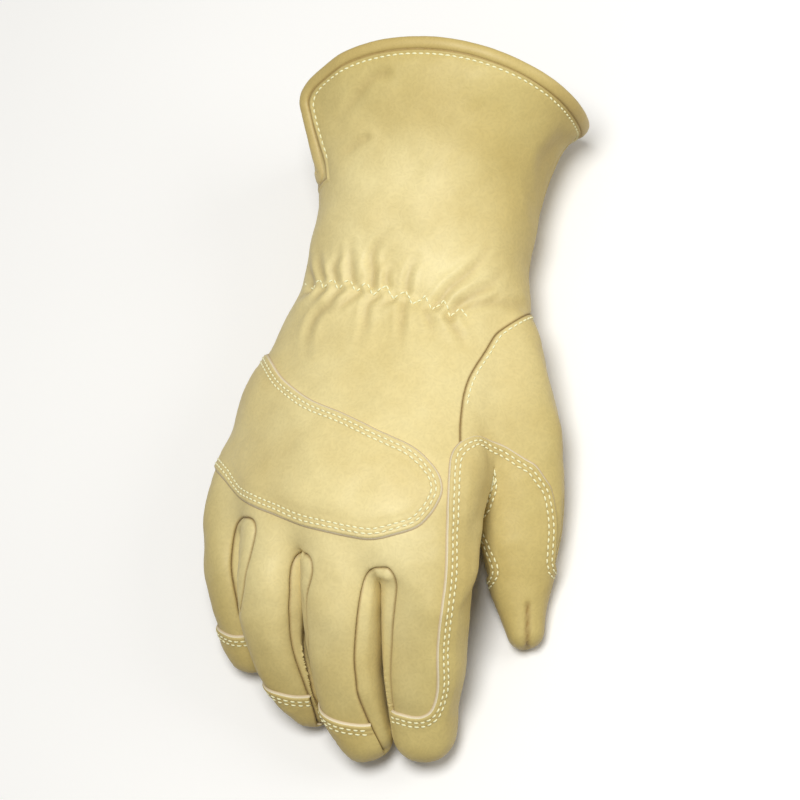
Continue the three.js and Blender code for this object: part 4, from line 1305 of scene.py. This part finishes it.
def cuffPlace(angle, y):
    table = smoothRows(hand["rows"], hand["steps"])[::-1]
    at = lambda k: np.interp(y, table[:, 0], table[:, k])
    x = at(1) + squircle(np.cos(angle), at(3) - pattern["wall"] / 2, hand["power"])
    z = at(2) + squircle(np.sin(angle), at(4) - pattern["wall"] / 2, hand["power"])
    return np.stack([x, y, np.maximum(z, binding["thick"] / 2)], 1)


def bindingPath():
    angle = np.linspace(0, 2 * math.pi, binding["pathPoints"], endpoint=False)
    y = np.full(len(angle), float(seams["peakY"]))
    for _ in range(binding["pathRounds"]):
        place = cuffPlace(angle, y)
        y = y + 0.5 * (rimField(place) - binding["width"] / 2)
    size = np.linalg.norm(np.diff(np.vstack([place, place[:1]]), axis=0), axis=1)
    along = np.r_[0, np.cumsum(size)]
    target = np.linspace(0, along[-1], binding["stations"], endpoint=False)
    turns = np.interp(target, along, np.r_[angle, 2 * math.pi])
    ys = np.interp(target, along, np.r_[y, y[0]])
    for _ in range(binding["smoothRounds"]):
        ys = ys * 0.5 + 0.25 * (np.roll(ys, 1) + np.roll(ys, -1))
    return cuffPlace(turns, ys), cuffPlace(turns, ys + 2), cuffPlace(turns, ys - 2), along[-1]


def makeBinding():
    point, above, below, length = bindingPath()
    along = unit(np.roll(point, -1, 0) - np.roll(point, 1, 0))
    wallDir = unit(above - below)
    out = unit(np.cross(along, wallDir))
    edge = unit(np.cross(out, along))
    arc = np.linspace(0, length, len(point), endpoint=False)
    ripple = sum(a * np.sin(2 * math.pi * arc * round(length / w) / length + p)
                 for a, w, p in binding["ripple"])
    size = 1 + ripple * binding["rippleShare"]
    rings = []
    for k in range(binding["around"]):
        turn = 2 * math.pi * (k + 0.5) / binding["around"]
        across = float(squircle(np.array(math.cos(turn)), binding["width"] / 2, binding["power"]))
        thick = float(squircle(np.array(math.sin(turn)), binding["thick"] / 2, binding["power"]))
        rings.append(point + edge * (across * size)[:, None] + out * (thick * size)[:, None])
    places = np.stack(rings, 1)
    rows, columns = places.shape[:2]
    outer = onFloor(places.reshape(-1, 3))
    faces = []
    for r in range(rows):
        for k in range(columns):
            a, b = r * columns + k, r * columns + (k + 1) % columns
            c, d = ((r + 1) % rows) * columns + (k + 1) % columns, ((r + 1) % rows) * columns + k
            faces.append((a, b, c, d))
    piece = addPiece("rim_binding_leather", outer, faces, [leathers["binding_leather"]],
                     "rim_binding")
    angle = np.tile(2 * math.pi * (np.arange(columns) + 0.5) / columns, rows)
    across = squircle(np.cos(angle), binding["width"] / 2, binding["power"])
    # painted shade along the binding's inner side where it meets the panel
    creaseShade = np.exp(-((across + binding["width"] / 2) / 0.4) ** 2) * 0.5
    setPaintedShade(piece.data, creaseShade)
    faceOutwards(piece)
    bpy.ops.object.shade_smooth()


makeBinding()
print("binding made")

# stitches
stitch = {
    "length": 2.0, "pitch": 2.75, "radius": 0.36, "sink": 0.22, "sides": 6, "stations": 5,
    "thumbRow": 1.8, "zigzagPitch": 2.6, "zigzagReach": 0.2,
    "clear": 0.9,  # a stitch keeps this far from the edge of its piece
    "taper": 0.45, "lift": 0.55, "bend": 1.6, "flat": (1.08, 0.85),  # form of one thread, in shares of its size
    "sizes": (0.92, 1.06), "swing": 0.07,  # how much one stitch differs from the next
}


def levelLines(points, tris, value, level):
    # lines on the sheet along value == level, as chained lists of places
    v = value - level
    v = np.where(np.abs(v) < 1e-6, 1e-6, v)
    edges, sides = edgesOf(tris)
    a, b = edges.T
    live = v[a] * v[b] < 0
    share = np.where(live, v[a] / np.where(live, v[a] - v[b], 1), 0)
    place = points[a] * (1 - share[:, None]) + points[b] * share[:, None]
    pairs = [tuple(s[live[s]]) for s in sides if live[s].sum() == 2]
    near = {}
    for p, q in pairs:
        near.setdefault(p, []).append(q)
        near.setdefault(q, []).append(p)
    left = set(near)
    lines = []
    while left:
        ends = [p for p in left if len([q for q in near[p] if q in left]) == 1]
        p = min(ends) if ends else min(left)
        line = [p]
        left.discard(p)
        while True:
            following = [q for q in near[p] if q in left]
            if not following:
                break
            p = following[0]
            left.discard(p)
            line.append(p)
        closed = len(line) > 3 and line[0] in near[line[-1]]
        if len(line) > 6:
            lines.append((place[line], closed))
    return lines


def evenly(line, closed, pitch):
    line = np.vstack([line, line[:1]]) if closed else line
    for _ in range(3):
        line[1:-1] = 0.5 * line[1:-1] + 0.25 * (line[:-2] + line[2:])
    size = np.linalg.norm(np.diff(line, axis=0), axis=1)
    along = np.r_[0, np.cumsum(size)]
    count = max(1, int(round(along[-1] / pitch)))
    at = lambda t: np.stack([np.interp(t, along, line[:, k]) for k in range(3)], 1)
    middle = (np.arange(count) + 0.5) * along[-1] / count
    return at(middle), unit(at(np.minimum(middle + 0.8, along[-1])) - at(np.maximum(middle - 0.8, 0)))


def threadRows(name, spots, chance):
    # one short bent thread at each spot, given as place, direction and outward direction
    points, faces = [], []
    sideCount, stations = stitch["sides"], stitch["stations"]
    wide, low = stitch["flat"]
    for place, way, out in spots:
        out = unit(out - way * (out @ way))
        side = np.cross(way, out)
        size = stitch["length"] * chance.uniform(*stitch["sizes"])
        swing = chance.normal(0, stitch["swing"])
        way = unit(way + side * swing)
        start = len(points)
        for i in range(stations):
            t = i / (stations - 1) * 2 - 1
            radius = stitch["radius"] * (1 - stitch["taper"] * abs(t) ** 3)
            lift = stitch["radius"] * stitch["lift"] - stitch["sink"] * stitch["bend"] * t * t * abs(t)
            centre = place + way * (t * size / 2) + out * lift
            for k in range(sideCount):
                turn = 2 * math.pi * k / sideCount
                points.append(centre + radius * (side * math.cos(turn) * wide + out * math.sin(turn) * low))
        for i in range(stations - 1):
            for k in range(sideCount):
                a, b = start + i * sideCount + k, start + i * sideCount + (k + 1) % sideCount
                faces.append((a, b, b + sideCount, a + sideCount))
        faces.append(tuple(range(start + sideCount - 1, start - 1, -1)))
        last = start + (stations - 1) * sideCount
        faces.append(tuple(range(last, last + sideCount)))
    faceOutwards(addPiece(name, onFloor(np.array(points)), faces, [thread]))
    bpy.ops.object.shade_smooth()


def rowsOn(item, levels, allow=None):
    # the stitches of each row on a sheet: place, direction and outward direction
    spots = []
    for level in levels:
        for line, closed in levelLines(item["outer"], item["tris"], item["s"], level):
            for place, way in zip(*evenly(line.copy(), closed, stitch["pitch"])):
                near = ((item["outer"] - place) ** 2).sum(1).argmin()
                clear = "edge" not in item or item["edge"][near] > stitch["clear"]
                if clear and (allow is None or allow(place)):
                    spots.append((place, way, item["normals"][near]))
    return spots


threads = {
    "strap_stitching": rowsOn(made["strap"], overlays["rows"]),
    "saddle_stitching": rowsOn(made["saddle"], overlays["rows"]),
}
for name in overlays["caps"]:
    threads[f"cap_stitching_{name}"] = rowsOn(made[name], overlays["rows"])

# the single row beside the thumb seam lies on the base leather
thumbS = nearness(thumbOutline, baseSheet[0], baseSheet[1])
baseNormals = normalsOf(baseOuter, baseSheet[2])
centre, _ = middles(baseSheet)
patchTris = (np.abs(centre[:, 0] - 30) < 60) & (centre[:, 1] > -12) & (centre[:, 1] < 60) & (baseLabel == 1)
seamItem = {"outer": baseOuter, "tris": baseSheet[2][patchTris], "s": thumbS, "normals": baseNormals}
threads["thumb_seam_stitching"] = rowsOn(seamItem, (stitch["thumbRow"],),
                                         lambda p: saddleOutline(p[None], None)[0] < -0.5)

rimS = rimField(baseSheet[0])
nearRim = (np.abs(rimField(centre) - binding["rowAt"]) < 2.5) & ((baseLabel == 0) | (baseLabel == 2))
rimItem = {"outer": baseOuter, "tris": baseSheet[2][nearRim], "s": rimS, "normals": baseNormals}
# the row stops where the cuff folds in at the foot of the notch
threads["binding_stitching"] = rowsOn(rimItem, (binding["rowAt"],),
                                      lambda p: p[0] > seams["notchX"] or p[1] > seams["notchY"] + 1)


def onBack(places):  # places marked on the plane, taken up to the back of the glove
    ids = np.flatnonzero(baseSheet[1] @ markDir > 0.1)
    q = onPlane(baseSheet[0][ids])
    out = []
    for p in places:
        near = ids[((q - p) ** 2).sum(1).argsort()[:6]]
        out.append((baseOuter[near].mean(0), unit(baseNormals[near].mean(0))))
    return out


zig = np.array(relief["zigzag"])
spots = []
for a, b in zip(zig[:-1], zig[1:]):
    count = max(2, round(float(np.linalg.norm(b - a)) / stitch["zigzagPitch"]))
    for t in (np.arange(count) + 0.5) / count:
        ends = -stitch["zigzagReach"], 0, stitch["zigzagReach"]
        low, mid, high = onBack([a + (b - a) * (t + end) for end in ends])
        spots.append((mid[0], unit(high[0] - low[0]), mid[1]))
threads["wrist_zigzag_stitching"] = spots
chance = np.random.default_rng(3)
for name, spots in threads.items():
    threadRows(name, spots, chance)
print("stitches made:", {k: len(v) for k, v in threads.items()})

meshes = [obj.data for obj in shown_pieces() if obj.type == "MESH"]
print("triangles shown and hidden:", sum(len(mesh.loops) - 2 * len(mesh.polygons) for mesh in meshes))
